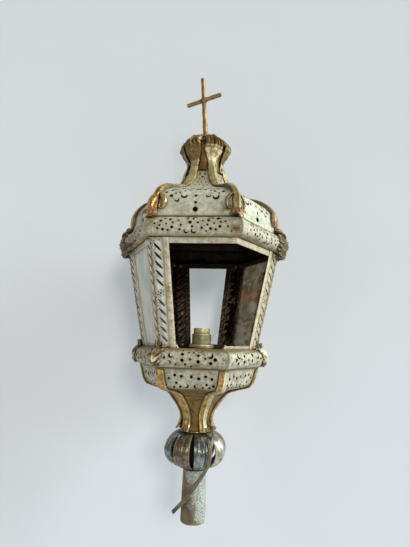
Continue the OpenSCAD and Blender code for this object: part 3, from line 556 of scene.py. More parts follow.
stem_path = chain(curve((27, 131.2), (24.5, 135.2), (24.5, 139.4), (24.5, 145)),
                  curve((24.5, 145), (24.5, 159), (35.25, 171.1), (46, 184)))
bowl_path = chain(curve((46, 184.2), (55, 192.4), (70, 193.8), (83, 198)),
                  curve((83, 198), (90, 203.7), (89, 217.9), (95, 226.4)))
gallery_path = curve((96, 226.6), (113, 234.7), (106.6, 254), (90.6, 254), 40)
cornice_path = chain(curve((122.9, 408), (138.9, 408), (143.4, 425.8), (127.7, 435.8), 40),
                     [(127.7, 435.8), (121.8, 437.8)])
roof_path = chain(curve((123, 438), (119.5, 440.3), (119.3, 446.3), (119.8, 452.3)),
                  curve((119.8, 452.3), (120.5, 471.4), (108, 486.3), (84, 493.8)),
                  curve((84, 493.8), (58, 501.3), (41.7, 514.3), (35, 540.3)))

# Pierced patterns: dots are (u from the middle of the face, height, radius), moons have a turn as well, and slits are
# (u, height, length, width, turn); every second face has them the other way round
ROOF_TOP_ROW = [(-36, 482, 1.3), (-24, 478, 1.2), (-17, 481, 1.1), (-9, 483, 1.1), (1, 484, 1.5), (5, 483.4, 1.2),
                (13, 483, 1.1), (21, 482, 1.3), (27, 480, 1.3), (39, 479, 1.6)]
ROOF_DOTS = ROOF_TOP_ROW + [(-36, 471, 2.0), (0, 471, 1.5), (0, 460, 1.5), (0, 449.5, 2.7), (-6, 494, 1.2),
                            (7, 494, 1.2), (0.5, 527, 1.4), (4, 533, 1.2), (-4, 533, 1.2), (-30, 476, 1.2),
                            (33, 475.5, 1.2), (-44, 478, 1.4)]
ROOF_MOONS = [(-27, 464, 3.0, 110), (-17, 471, 4.0, 90), (18, 471.5, 3.0, 80), (29, 469, 4.2, 100)]
ROOF_SLITS = [(-33, 485.5, 8, 3.6, 8), (-20, 487.5, 9, 3.8, 8), (-7, 488.5, 9, 3.8, 0), (6, 488.5, 8, 3.6, 0),
              (18, 487.5, 10, 3.8, -8), (31, 485.5, 8, 3.6, -8), (-26.5, 482.5, 4, 1.9, 20), (-13, 484, 4, 1.9, -15),
              (12, 484, 4, 1.9, 15), (25, 482.5, 4, 1.9, -20)]
# Fan of short cuts on the neck, the same on both sides of a middle one
NECK_FAN = [(13, 503, 6, 1.5, -25), (4.5, 503, 5, 1.4, 40), (9.5, 509.5, 5, 1.4, 55), (3.2, 509, 4.5, 1.4, -75),
            (6, 516.5, 4.4, 1.4, 65), (3.6, 522.5, 3.6, 1.2, 75)]
ROOF_SLITS += [(s * u, z, length, width, s * turn) for u, z, length, width, turn in NECK_FAN for s in (-1, 1)]
ROOF_SLITS += [(0, 516, 4.4, 1.4, 90)]
CORNICE_DOTS = [(-17, 422, 1.2), (-4.6, 426.5, 1.9), (6.2, 426.5, 1.2), (48, 420, 1.1), (-54, 424, 1.1),
                (-21, 429.5, 1.1), (13, 429, 1.1), (12, 418, 1.2), (-19, 415.5, 1.2), (-1.5, 420, 1.3), (44, 428, 1.2),
                (-50, 417, 1.2), (18, 413.5, 1.0), (53, 413.5, 1.0)]
CORNICE_MOONS = [(-9.7, 433, 3.0, 200), (1.9, 433, 3.0, 330), (-9.7, 413.5, 3.0, 60), (0.4, 413.5, 3.2, 60),
                 (20.5, 433.4, 2.2, 120), (37, 433.4, 2.2, 60)]
CORNICE_RINGS = [(-37.7, 423.5), (29, 424.5)]
GALLERY_DOTS = [(-37, 241, 1.3), (-12, 246.4, 1.7), (-12, 238, 1.7), (-7.6, 232.5, 1.4), (0, 229.5, 1.2),
                (-1, 239.5, 1.2), (10.4, 245, 1.5), (10.4, 236.6, 1.8), (-3, 249, 1.0), (3.7, 249, 1.0),
                (33.7, 240, 1.8), (27.5, 234.8, 1.8), (-11.6, 251, 0.9), (20, 241, 1.1), (-21, 232, 1.1)]
GALLERY_MOONS = [(-28, 244.5, 3.4, 40), (-30, 234.5, 2.4, 200), (27, 245, 3.4, 140)]
BOWL_DOTS = [(-31.7, 212, 1.3), (-23.4, 216.5, 1.5), (-14, 215.3, 1.5), (0, 215, 1.5), (10.6, 213, 1.6),
             (19.8, 216, 1.5), (28.8, 212.7, 1.5), (-21, 206, 1.3), (21.4, 204.6, 1.4), (31, 203, 1.5),
             (-15.5, 200.6, 1.4), (15.9, 200, 1.2), (25.5, 200, 1.4), (-24, 199.8, 1.2)]
BOWL_MOONS = [(-6.9, 201.6, 2.8, 150), (6.6, 201.4, 2.8, 20)]

# Brown patches on the shells, near the front corners and across the side and back faces
ROOF_STAINS = [(4, 46, 449, 17, 11, 0.62), (4, -52, 452, 10, 14, 0.4), (4, 42, 484, 9, 6, 0.45),
               (5, -46, 449, 12, 10, 0.35), (3, 0, 455, 34, 22, 0.35), (2, 20, 460, 30, 20, 0.3),
               (1, -20, 455, 34, 14, 0.35), (0, 10, 452, 40, 12, 0.35)]
CORNICE_STAINS = [(4, 60, 419, 13, 12, 0.66), (4, -62, 420, 10, 14, 0.5), (3, 0, 420, 60, 26, 0.58),
                  (5, 0, 410, 70, 4, 0.5), (5, 48, 420, 14, 14, 0.5), (2, 0, 418, 40, 12, 0.35),
                  (1, 20, 416, 40, 12, 0.35), (0, -20, 418, 40, 12, 0.35)]
GALLERY_STAINS = [(4, 10, 230, 44, 4, 0.5), (3, 0, 240, 44, 20, 0.36), (1, 0, 236, 40, 10, 0.3)]
BOWL_STAINS = [(4, -38, 212, 7, 20, 0.5), (4, 36, 206, 8, 18, 0.5), (5, 34, 206, 12, 12, 0.4),
               (3, 0, 208, 44, 20, 0.3)]


# The cuts are worn wider than they are drawn
DOT_WEAR, MOON_WEAR = 1.45, 1.22


def pattern(face, dots, moons, slits=(), rings=()):
    """Cuts of one face, as drawn on the front face; a ring is eight dots round a ninth."""
    flip = 1 if face % 2 == 0 else -1
    cuts = [dot(flip * u, z, DOT_WEAR * r) for u, z, r in dots]
    cuts += [crescent(flip * u, z, MOON_WEAR * r, turn if flip > 0 else 180 - turn) for u, z, r, turn in moons]
    cuts += [slit(flip * u, z, length, width, flip * turn) for u, z, length, width, turn in slits]
    for u, z in rings:
        cuts.append(dot(flip * u, z, 1.5))
        for k in range(8):
            a = radians(45 * k + 14)
            cuts.append(dot(flip * u + 9.4 * cos(a), z + 9.0 * sin(a), 2.2 if k % 2 else 1.7))
    return cuts


hex_shell("roof_panels", roof_path, lambda k: pattern(k, ROOF_DOTS, ROOF_MOONS, ROOF_SLITS), roof_silver, "roof",
          stains=ROOF_STAINS)
hex_shell("cornice_cushion", cornice_path, lambda k: pattern(k, CORNICE_DOTS, CORNICE_MOONS, rings=CORNICE_RINGS),
          cornice_silver, "cornice", dent=0.9, stains=CORNICE_STAINS)
hex_shell("gallery_cushion", gallery_path, lambda k: pattern(k, GALLERY_DOTS, GALLERY_MOONS), gallery_silver, "gallery",
          step=3.6, dent=1.1, stains=GALLERY_STAINS)
hex_shell("bowl_shell", bowl_path, lambda k: pattern(k, BOWL_DOTS, BOWL_MOONS), bowl_silver, "bowl",
          stains=BOWL_STAINS)
# The flex leaves by a hole in the stem
hex_shell("stem_shell", stem_path, lambda k: [dot(0, 141, 3.4)] if k == 5 else [], stem_gilt, "stem", dent=0.3,
          clogged=())


# ---------------------------------------------------------------- leaf work on the corners

def over_corner(azimuth, path, along):
    """Points over a corner: at place i of the path, y to the side, rise above it, folded back by hug."""
    line = spaced(path, along)
    out = outward(line)

    def at(i, y, rise, hug):
        r, z, n_r, n_z = (np.interp(i, range(along + 1), column) for column in (*line.T, *out.T))
        return turned_to(azimuth, r + n_r * rise - abs(y) * hug, y, z + n_z * rise)

    return at


def corner_leaf(piece, azimuth, path, half, lift, hug, along, across=14, gap=0.4, kind=0, grain=0.2,
                grooves=lambda t, x: 0, sunk=lambda t: 0):
    """Sheet that rides over a corner. path holds (radius, height) points and runs upwards; at t along it and x across
    it, half(t) is its half width, lift(t, x) its height above the path, hug(t) how far it follows the fold,
    grooves(t, x) the dirt in its veins and sunk(t) how far its back lies below the path."""
    at = over_corner(azimuth, path, along)
    rows = []
    for i in range(along + 1):
        t = i / along
        ring = [at(i, (2 * j / across - 1) * half(t), gap - sunk(t), hug(t)) for j in range(across + 1)]
        spot = len(piece.points) + i * (2 * across + 2)
        for j in (0, across, across + 1, 2 * across + 1):
            piece.dirt[spot + j] = 0.85
        for j in range(across + 1):
            x = 1 - 2 * j / across
            rise = lift(t, x) + grain * uneven(i / 2.3, 4 * x, azimuth)
            piece.dirt.setdefault(spot + across + 1 + j, grooves(t, x))
            ring.append(at(i, x * half(t), gap + max(0.3, rise), hug(t)))
        rows.append(ring)
    piece.grid(rows, kind, wrap=True, caps=True)


def thinned(x, share=0.5):
    """Leaves are beaten thin at their edges."""
    return 1 if abs(x) < 0.99 else share


def scroll(piece, azimuth, path, along, points, size, hug, kind):
    """Tapering wire scroll on the flank of a corner: points are (place on the path, y, rise), size(t) its radius."""
    at = over_corner(azimuth, path, along)
    n = 40
    line = [Vector(at(i, y, rise, hug)) for i, y, rise in through(points, n)]
    rows = []
    for k, p in enumerate(line):
        way = (line[min(k + 1, n)] - line[max(k - 1, 0)]).normalized()
        out = Vector((p.x, p.y, 0)).normalized()
        out = (out - way * out.dot(way)).normalized()
        side = way.cross(out)
        r = size(k / n)
        rows.append([p + r * (out * cos(a) + side * sin(a)) for a in np.linspace(0, TURN, 11)[:-1]])
    piece.grid(rows, kind, wrap=True, caps=True)


# Gilt ribs of the stem and bowl: shallow channels with rolled edges, their feet turned out over the knob
RIB_FOOT = [(30.2, 130.6), (28.7, 132.8), (27.2, 136.2), (25.6, 141.8)]
BASE_RIB_PATH = RIB_FOOT + [p for p in stem_path if p[1] > 146] + [p for p in bowl_path if 185.5 < p[1] < 225]


def base_rib_half(t):
    return 5.6 + 1.6 * bell(t, 0.0, 0.07) + 1.9 * climb(t, 0, 0.3) + 0.2 * sin(40 * t)


def base_rib_lift(t, x):
    edge = 1.9 * bell(abs(x), 0.80, 0.2)
    middle = 0.5 * bell(x, 0, 0.25) * (0.5 + 0.5 * sin(22 * t))
    return (0.8 + edge + middle) * thinned(x, 0.55)


for i in range(1, 7):
    rib = Piece()
    # The feet have gone brown, and the flank of the front right rib that faces the light is made cream, a painted
    # highlight
    corner_leaf(rib, 60 * i, BASE_RIB_PATH, base_rib_half, base_rib_lift, lambda t: FOLD * min(1, 0.3 + t / 0.12),
                along=96, kind=lambda row, column: 1 if row < 5 else 2 if i == 5 and 14 < column < 22 else 0)
    make(f"base_rib_leaf_{i}", f"base_rib_{i}", rib, [gilt, leaf_grey, lit_side_gilt])


# Roof ribs: a strap from the crown over the shoulder that stands clear of it, a broad leaf with a C-scroll on each
# flank, a ridged roll, and a pale leaf tip over the groove
def stood_off(path, most):
    """The path bowed outwards, by most at its middle."""
    line = spaced(path, 60)
    return line + most * np.sin(np.linspace(0, pi, 61))[:, None] * outward(line)


ROOF_RIB_PATH = stood_off([p for p in roof_path if p[1] > 442 and p[0] > 53], 3.6)
RIB_STEPS = 80


def strap_half(t):
    return 5.0 + 1.6 * bell(t, 0.16, 0.10) - 0.6 * bell(t, 0.0, 0.06) + 3.6 * bell(t, 1.0, 0.16)


def strap_lift(t, x):
    leaf = bell(t, 0.22, 0.14)
    round_back = (2.1 - 0.8 * leaf) * sqrt(max(0, 1 - x * x))
    vein = leaf * bell(x, 0, 0.2)
    lobes = 0.7 * leaf * cos(38 * t - 5 * abs(x)) * (1 - bell(x, 0, 0.25))
    return (0.9 + round_back + vein + lobes) * thinned(x) * (1 - 0.5 * climb(t, 0.8, 0.2))


def roll(piece, azimuth, centre, radius, half, ridges, kind):
    """Ridged roll that lies across a corner."""
    rows = []
    for i in range(6 * ridges + 1):
        x = i / (3 * ridges) - 1
        ridge = 0.86 + 0.14 * abs(sin(pi * ridges * (x + 1) / 2))
        size = radius * (0.30 + 0.70 * sqrt(max(0, 1 - x * x))) * ridge
        far = centre[0] - abs(x * half) * 0.35
        rows.append([turned_to(azimuth, far + size * cos(a), x * half, centre[1] + size * sin(a))
                     for a in (TURN * k / 12 for k in range(12))])
    piece.grid(rows, kind, wrap=True, caps=True)


def tip_half(t):
    return 9.0 * sqrt(max(0.03, 1 - (1 - t) ** 2.4)) * (0.82 + 0.18 * abs(cos(7 * t)))


STRAP_METALS = {1: gilt, 2: brown_gilt, 3: olive_gilt, 4: gilt, 5: olive_gilt, 6: brown_gilt}
C_SCROLL = [(24, 5.0, 0.9), (22, 8.5, 1.0), (19, 12.0, 1.1), (14.5, 14.4, 1.2), (9.5, 14.0, 1.4), (6.5, 11.4, 1.6),
            (7.5, 8.8, 1.8), (10.5, 8.6, 1.8)]
TIP_PATH = curve((137.0, 432.5), (138.0, 437), (134.0, 443.0), (126, 441.5), 16)
for i in range(1, 7):
    rib = Piece()
    front_left = i == 4
    corner_leaf(rib, 60 * i, ROOF_RIB_PATH, strap_half, strap_lift, lambda t: FOLD * (1 - 0.3 * bell(t, 0.6, 0.3)),
                along=RIB_STEPS, kind=lambda row, column: 4 if 52 < row < RIB_STEPS else 0,
                sunk=lambda t: 4.2 * sin(pi * t))
    swell = 2.7 if front_left else 0.8
    for side in (-1, 1):
        scroll(rib, 60 * i, ROOF_RIB_PATH, RIB_STEPS, [(p, side * y, rise) for p, y, rise in C_SCROLL],
               lambda t: 1.3 + swell * sin(pi * min(1, 1.25 * t)) - 0.3 * t, FOLD, 3)
    # The front left roll has been bent out over the cornice
    centre, radius, half = ((131.5, 440.5), 6.6, 13.0) if front_left else ((127.0, 444.0), 5.2, 12.0)
    roll(rib, 60 * i, centre, radius, half, 6, 2)
    corner_leaf(rib, 60 * i, TIP_PATH, tip_half, lambda t, x: 1.1 + 1.1 * bell(x, 0, 0.3) - 0.4 * x * x,
                lambda t: 0.3 * t, along=18, gap=-0.6, kind=1)
    wire = gilt if front_left else brown_gilt
    make(f"roof_scroll_{i}", f"roof_rib_{i}", rib, [STRAP_METALS[i], pale_gilt, roll_copper, wire, olive_gilt])


# Leaves at the feet of the posts and clasps on the cornice corners: lobed leaves with raised veins
def lobes_at(t, lobes):
    return 0.74 + 0.26 * abs(cos(pi * lobes * t))


def lobed(width, lobes):
    return lambda t: width * (0.30 + 0.70 * sin(pi * min(1, 0.06 + 0.9 * t)) ** 0.7) * lobes_at(t, lobes)


def spread(t):
    """The left clasp trails along the lower roll of its two faces."""
    return (15 + 42 * bell(t, 0.24, 0.2)) * lobes_at(t, 6)


def veins(t, x, lobes):
    return cos(TURN * (lobes * t - 1.1 * abs(x))) * (1 - bell(x, 0, 0.2))


def veined(high, lobes):
    return lambda t, x: high * (0.9 + 0.8 * veins(t, x, lobes) + 1.2 * bell(x, 0, 0.16) + 0.3 * x * x) * thinned(x)


def vein_dirt(lobes):
    return lambda t, x: max(0, -veins(t, x, lobes))


POST_AZIMUTHS = {"right": 0, "back_right": 60, "back_left": 120, "left": 180, "front_left": 240}
# The cage widens from its foot to the foot of the top rail
CAGE_FOOT, CAGE_RISE, CAGE_R, CAGE_SPREAD = 254, 145.8, 90, 31


def cage_r(z):
    return CAGE_R + CAGE_SPREAD * (z - CAGE_FOOT) / CAGE_RISE


FOOT_LEAF_PATH = [p for p in gallery_path if 229 < p[1] < 252.6]
FOOT_LEAF_PATH += [(cage_r(256) + 6.5, 256.5), (cage_r(264) + 5.6, 264)]
foot_leaves = Piece()
for azimuth in POST_AZIMUTHS.values():
    # Lower lobes rubbed to cream; the right hand leaf is cream nearly all over
    cream_end = 44 if azimuth == 0 else 21
    corner_leaf(foot_leaves, azimuth, FOOT_LEAF_PATH, lobed(11.5, 5), veined(1.4, 5), lambda t: FOLD * 0.95, along=56,
                across=20, kind=lambda row, column: 1 if 10 < row < cream_end else 0, grain=1.2, grooves=vein_dirt(5))
make("post_foot_leaves", "foot_leaves", foot_leaves, [leaf_brown, pale_gilt])

RAIL_TOP = 407.8
CORNICE_LEAF_PATH = [(cage_r(RAIL_TOP) + 7.6, 399.5), (cage_r(RAIL_TOP) + 10.6, 404.5)]
CORNICE_LEAF_PATH += [p for p in cornice_path if 412 < p[1] < 435.5]
cornice_leaves = Piece()
for azimuth in (0, 60, 120, 180):
    corner_leaf(cornice_leaves, azimuth, CORNICE_LEAF_PATH, spread if azimuth == 180 else lobed(25, 6), veined(1.7, 6),
                lambda t: FOLD * 0.97, along=72, across=32, grain=2.8, grooves=vein_dirt(6))
make("cornice_clasps", "cornice_leaves", cornice_leaves, [leaf_grey])


# Crown: six leaves on strips that rise from the roof, draw in at the waist and roll over the top in ridges
CROWN_LEAF_PATH = chain([p for p in roof_path if p[1] > 507],
                        curve((35, 540.3), (34, 548.3), (29, 550.3), (29, 558.3)),
                        curve((29, 558.3), (29, 569.5), (38, 572.8), (39, 583.2)),
                        curve((39, 583.2), (39.5, 593), (28, 602.2), (17, 602.3)))


def crown_half(t):
    strip = 8.8 - 1.4 * bell(t, 0.44, 0.14)
    blade = 7.0 * bell(t, 0.68, 0.11) + 5.6 * bell(t, 0.88, 0.12)
    return (strip + blade) * (1 - 0.5 * climb(t, 0.92, 0.08)) + 0.4 * sin(70 * t) * (t > 0.5)


def knuckles(t, x):
    return abs(cos(2.5 * pi * x + 4 * t))


def crown_lift(t, x):
    strip = 1.2 * sqrt(max(0, 1 - x * x)) * (1 - climb(t, 0.45, 0.15))
    blade = climb(t, 0.5, 0.15) * (0.9 * bell(x, 0, 0.14) + 0.35 * cos(30 * t - 6 * abs(x)))
    rolled = climb(t, 0.70, 0.04) * 4.2 * knuckles(t, x)
    return (1.1 + strip + blade + rolled) * thinned(x) * min(1, 0.3 + t / 0.08)


def crown_grooves(t, x):
    between_knuckles = (1 - knuckles(t, x)) ** 2 * (t > 0.68)
    return max(between_knuckles, 0.6 * bell(t, 0.69, 0.015), 0.5 * bell(abs(x), 0.35, 0.12) * (0.5 < t < 0.68))


crown_leaves = Piece()
for i in range(6):
    # The front right leaf, towards the light, is pale gilt: a painted highlight
    corner_leaf(crown_leaves, 60 * i, CROWN_LEAF_PATH, crown_half, crown_lift, lambda t: FOLD if t < 0.4 else 0.3,
                along=96, across=22, grain=0.5, grooves=crown_grooves,
                kind=lambda row, column: 3 if row < 48 else 2 if row > 68 else 1 if i == 5 else 0)
# Ball that caps one of the rolls beside the cross
crown_leaves.turned([(max(0.0, 4.2 * cos(a)), 602.5 + 4.2 * sin(a)) for a in np.linspace(-pi / 2, pi / 2, 13)],
                    20, (14, -12), 2)
make("crown_leaf_ring", "crown_leaves", crown_leaves, [brown_gilt, pale_gilt, stem_gilt, olive_gilt])

core_line = chain(curve((33.5, 540.5), (28, 544.3), (25.5, 549.3), (25.5, 557.2), 10),
                  curve((25.5, 557.2), (25.5, 567.6), (33, 572.8), (33.5, 580.6), 10),
                  curve((33.5, 580.6), (33.5, 592.3), (16, 605.3), (6.4, 605.3), 12))
core_back = [(r - 1.2, z - 0.2) for r, z in reversed(core_line)]
lathed("crown_cup", "crown_core", core_line + core_back + core_line[:1], stem_gilt, n=48,
       ripple=lambda a, r, z: 0.5 * cos(12 * a) * (r > 12))


# ---------------------------------------------------------------- cage

FACE_LEAN = atan(CAGE_SPREAD * COS30 / CAGE_RISE)
LEAN_C, LEAN_S = cos(FACE_LEAN), sin(FACE_LEAN)
# Ends of the posts and of the panes, up the slope of the faces
POST_LOW, POST_HIGH = 0.4 / LEAN_C, 153.6 / LEAN_C
PANE_LOW, PANE_HIGH = 4.7 / LEAN_C, (145.6 - 4 * LEAN_S) / LEAN_C


def face_half(v):
    return cage_r(CAGE_FOOT + v * LEAN_C) / 2


def flange_w(v):
    return 13 + 3.5 * v * LEAN_C / CAGE_RISE


def strip_out(v):
    return face_half(v) - flange_w(v) - 0.1


def on_face(azimuth, x, v, n):
    """Point on a leaning face of the cage: x along it, v up its slope, n outwards."""
    far = CAGE_R * COS30 + v * LEAN_S + n * LEAN_C
    return turned_to(azimuth, far, x, CAGE_FOOT + v * LEAN_C - n * LEAN_S)


SLOT_PITCH = 12.6
# How far the engraved lines lie from the corner, and how far each flange goes past it to meet the other
ENGRAVED_IN, MITRE = 3.6, 0.58
ROSETTE_LEVEL = 0.53 * CAGE_RISE
SLOT_LEVELS = [0.09 * CAGE_RISE + k * SLOT_PITCH for k in range(5)]
SLOT_LEVELS += [ROSETTE_LEVEL + 2 + k * SLOT_PITCH for k in range(1, 6)]


def flange(piece, azimuth, side, wide, filled):
    """Pierced flange of a post: slots that run down to the right, a rosette halfway up, and raised strokes between them
    with engraved lines towards the corner. filled closes the slots with the dark inside material, which is painted
    shade."""
    def middle(v):
        return side * (face_half(v) - flange_w(v) / 2)

    levels = np.linspace(POST_LOW, POST_HIGH, 49)
    inner = [(side * (face_half(v) - flange_w(v)), v) for v in levels]
    outer = [(side * (face_half(v) + MITRE), v) for v in levels]
    cuts = [slit(middle(v), v, 1.12 * flange_w(v), wide, -45) for v in SLOT_LEVELS]
    cuts.append(dot(middle(ROSETTE_LEVEL), ROSETTE_LEVEL, 1.7))
    for a in (radians(60 * k + 30) for k in range(6)):
        cuts.append(dot(middle(ROSETTE_LEVEL) + 4.2 * cos(a), ROSETTE_LEVEL + 4.2 * sin(a), 1.15))
    top = SLOT_LEVELS[-1] + 10
    cuts.append(dot(middle(top) + 3.4, top, 1.3))
    through_cuts = len(cuts)
    for v in SLOT_LEVELS:
        for away in (4.2, 8.0):
            line_v = v + away - side * (flange_w(v) / 2 - ENGRAVED_IN)
            cuts.append(slit(side * (face_half(v) - ENGRAVED_IN), line_v, 7.0, 0.7, -45, 4))

    def lay(x, v, n):
        across = abs(x) - (face_half(v) - flange_w(v))
        fade = max(0, min(1, across / 3, (flange_w(v) - across) / 3))
        first = SLOT_LEVELS[5 if v > ROSETTE_LEVEL else 0]
        stroke = 0.5 - 0.5 * cos(TURN * (x - middle(v) + v - first) / SLOT_PITCH)
        return on_face(azimuth, x, v, n + 0.55 * fade * stroke * (1 - bell(v, ROSETTE_LEVEL, 7)))

    pierced_sheet(piece, inner + outer[::-1], cuts, 3.0, lambda x, v: lay(x, v, 1.05), lambda x, v: lay(x, v, 0.05),
                  lambda i: filled or i >= through_cuts, 0.2)


for name, azimuth in POST_AZIMUTHS.items():
    post = Piece()
    at_back = name.startswith("back")
    for side in (1, -1):
        flange(post, azimuth - side * 30, side, 0.9 if at_back else 3.2, at_back)
    bead = []
    for z in np.linspace(257, 406.5, 151):
        size = 1.6 + 0.25 * sin(TURN * z / 5.8) + 1.3 * uneven(z / 4.2, azimuth, 0)
        bead.append([turned_to(azimuth, cage_r(z) + 1.0 + size * cos(a), 1.25 * size * sin(a), z)
                     for a in np.linspace(radians(-100), radians(100), 8)])
    post.grid(bead, 2, wrap=True, caps=True)
    plate = post_cream if name == "right" else post_silver
    make(f"pierced_post_{name}", f"post_{name}", post, [plate, post_inside, bead_metal], sharp=30)

# Sections of a glazing strip, as (distance from its outer edge, outwards): the roll, the lip along the glass and the
# tabs that hold the glass
STRIP_ROLL = [(0, 0.05), (0, 0.8), (0.9, 1.25), (2.5, 1.7), (4.25, 1.85), (6.0, 1.7), (7.6, 1.25), (8.5, 0.8),
              (8.5, 0.05)]
STRIP_LIP = [(0, 0.1), (1, 0.1), (1, -3.9), (0, -3.9)]
STRIP_TAB = [(0.5, -3.1), (5.5, -3.1), (5.5, -3.9), (0.5, -3.9)]
strips = Piece()
for azimuth in POST_AZIMUTHS.values():
    for side in (-1, 1):
        face = azimuth - side * 30

        def section(points, v, up=0.0, wave=0.0):
            return [on_face(face, side * (strip_out(v) - x), v + up, n + wave * (n > 0.5)) for x, n in points]

        # The side towards the lamp and the edges of the openings at the back take the dark inside material, painted
        # shade; so do the lips and the tabs
        shaded_sides = (7, 8) if azimuth in (60, 120) else (8,)
        strips.grid([section(STRIP_ROLL, v, wave=0.15 * uneven(v / 14, face, side))
                     for v in np.linspace(POST_LOW, POST_HIGH, 41)],
                    lambda row, column: 1 if column in shaded_sides else 0, wrap=True, caps=True)
        strips.grid([section(STRIP_LIP, v) for v in (PANE_LOW, PANE_HIGH)], 1, wrap=True, caps=True)
        for v in (0.2 * CAGE_RISE, 0.8 * CAGE_RISE):
            strips.grid([section(STRIP_TAB, v, up) for up in (-3.5, 3.5)], 1, wrap=True, caps=True)
make("rolled_glazing_strips", "glazing_strips", strips, [strip_metal, post_inside])


RAIL_STEPS = 32


def hex_rail(name, low, high, node):
    """Flat rail round all six sides with softened edges; high(place) is its top, place going round from 0 to 6."""
    rail = Piece()
    rows = []
    for m in range(6 * RAIL_STEPS):
        side, part = divmod(m / RAIL_STEPS, 1)
        top = high(side + part) + 0.25 * uneven(m / 2, low, 1.7)
        a, b = (Vector(turned_to(60 * (side + n), 1, 0, 0)) for n in (0, 1))
        spot = a * (1 - part) + b * part
        rows.append([(spot.x * (cage_r(z) + d), spot.y * (cage_r(z) + d), z) for d, z in (
            (-1.38, low), (-0.25, low), (0, low + 0.35), (0, top - 0.35), (-0.25, top), (-1.38, top))])
    # The inner face of the rail takes the near-black back material: painted shade
    rail.grid(rows + rows[:1], lambda row, column: 1 if column == 5 else 0, wrap=True)
    make(name, node, rail, [strip_metal, painted_shade], sharp=30)


# The gallery's rail has lost its upstand on the open front side, right of the front left post
hex_rail("gallery_rail", 250.2, lambda place: 253.8 if 4.26 < place < 4.98 else 258.5, "bottom_rail")
hex_rail("cornice_rail", 399.8, lambda place: RAIL_TOP, "top_rail")


# ---------------------------------------------------------------- knob and pole socket

KNOB_R, KNOB_FOOT, KNOB_HALF_HEIGHT = 48.5, 77, 25.5


def petal_point(up, side, deep):
    """Point of a petal: up from -1 to 1, side from -1 to 1, deep the distance inwards."""
    swing = radians(87 * up)
    full, rise = cos(swing), sin(swing)
    end_r = 17.5 if up < 0 else 20
    r = end_r + (KNOB_R - end_r) * full
    # Half the angle of a petal, less its share of the dark gap
    half = radians(22.5) - 8.4 * (0.08 + 0.92 * full) / 2 / r
    below = deep + full * 1.5 * (bell(side, 0.36, 0.13) + bell(side, -0.36, 0.13))
    out = r - 4 * full * side * side - below * full
    return (out * cos(side * half), out * sin(side * half), KNOB_FOOT + KNOB_HALF_HEIGHT * (1 + rise) - below * rise)


knob = Piece()
across = np.linspace(-1, 1, 25)
for i in range(8):
    start = len(knob.points)
    rows = [[petal_point(up, x, 1.8) for x in across] + [petal_point(up, x, 0) for x in across[::-1]]
            for up in np.linspace(-1, 1, 41)]
    # Three petals are worn to brass, and the right hand one takes the cream copy, a painted highlight
    knob.grid(rows, 1 if i in (2, 5, 7) else 2 if i == 1 else 0, wrap=True, caps=True)
    knob.moved(about_z(292.5 + 45 * i), start)
make("knob_petal_ring", "knob_petals", knob, [petal_silver, petal_brown, petal_painted_lit])

COLLAR_BORE = 13.2
for name, radius, low, high, metal in (("low", 20, 74.2, 76.8, dark_core), ("high", 24, 128.2, 131, gilt)):
    bulge = curve((radius - 0.9, low), (radius + 0.25, low), (radius + 0.25, high), (radius - 0.9, high), 10)
    outline = [(COLLAR_BORE, low)] + bulge + [(COLLAR_BORE, high), (COLLAR_BORE, low)]
    lathed(f"knob_collar_{name}_ring", f"knob_collar_{name}", outline, metal)


def dented(a, r, z):
    return (0.35 * uneven(cos(a) * 1.6, sin(a) * 1.6, z / 16) - 0.25) * (r > 16.5)


def painted_socket():
    """Iron tube with chalky cream-green paint, and brown patches that spread towards -X and towards the mouth."""
    made, tree, place = new_material("chalky_paint_on_iron")
    blotch = add(tree, "TexNoise", {"Vector": place, "Scale": per_mm(26), "Detail": 8.0, "Roughness": 0.65,
                                    "Distortion": 0.8})
    fine = add(tree, "TexNoise", {"Vector": place, "Scale": per_mm(2.2), "Detail": 5.0, "Roughness": 0.7})
    # Brown spreads towards -X and towards the mouth
    brown_share = blotch
    for axis, begins, full, least, most in (("X", 12, -14, -0.20, 0.20), ("Z", 58, 2, -0.10, 0.17)):
        along = add(tree, "SeparateXYZ", {"Vector": place}, out=axis)
        more = add(tree, "MapRange", {"Value": along, "From Min": begins * MM, "From Max": full * MM, "To Min": least,
                                      "To Max": most})
        brown_share = add(tree, "Math", {0: brown_share, 1: more}, operation="ADD")
    brown_share = add(tree, "ValToRGB", {"Fac": brown_share}, [(0.47, 0), (0.56, 1)])
    chips = add(tree, "ValToRGB", {"Fac": fine}, [(0.36, 1), (0.44, 0)])
    brown_share = add(tree, "Math", {0: brown_share, 1: chips}, operation="MAXIMUM")
    paint = coated(tree, "#71766a", (fine, [(0.42, 0), (0.62, 1)], "#b6bbb0"))
    brown_coat = coated(tree, "#46382a", (blotch, [(0.35, 0), (0.65, 1)], "#83704a"))
    colour = add(tree, "Mix", {"Factor": brown_share, "A": paint, "B": brown_coat}, data_type="RGBA")
    relief = add(tree, "Bump", {"Height": brown_share, "Strength": 0.35, "Distance": 0.3 * MM}, invert=True)
    relief = add(tree, "Bump", {"Height": fine, "Strength": 0.3, "Distance": 0.4 * MM, "Normal": relief})
    shader = add(tree, "BsdfPrincipled", {"Base Color": colour, "Roughness": 0.62, "Normal": relief})
    add(tree, "OutputMaterial", {"Surface": shader})
    return made


socket_wall = [(19.2 - 1.4 * z / 74, z) for z in np.linspace(0.6, 73.2, 30)]
socket_line = [(0, 68), (16, 68), (16, 0.3), (16.3, 0), (18.8, 0)] + socket_wall + [(17.2, 74), (0, 74)]
lathed("pole_socket_tube", "pole_socket", socket_line, painted_socket(), ripple=dented)


# ---------------------------------------------------------------- cross

# Frame of the leaning cross: z up its upright, x along its bar
CROSS_FRAME = (Matrix.Translation((0, 0, 605.3)) @ about_z(187) @ Matrix.Rotation(radians(4.4), 4, "Y")
               @ about_z(-22 - 187))
BAR_UP = 78.3
FOOT_UP = 8.3
END_UP = FOOT_UP + 112

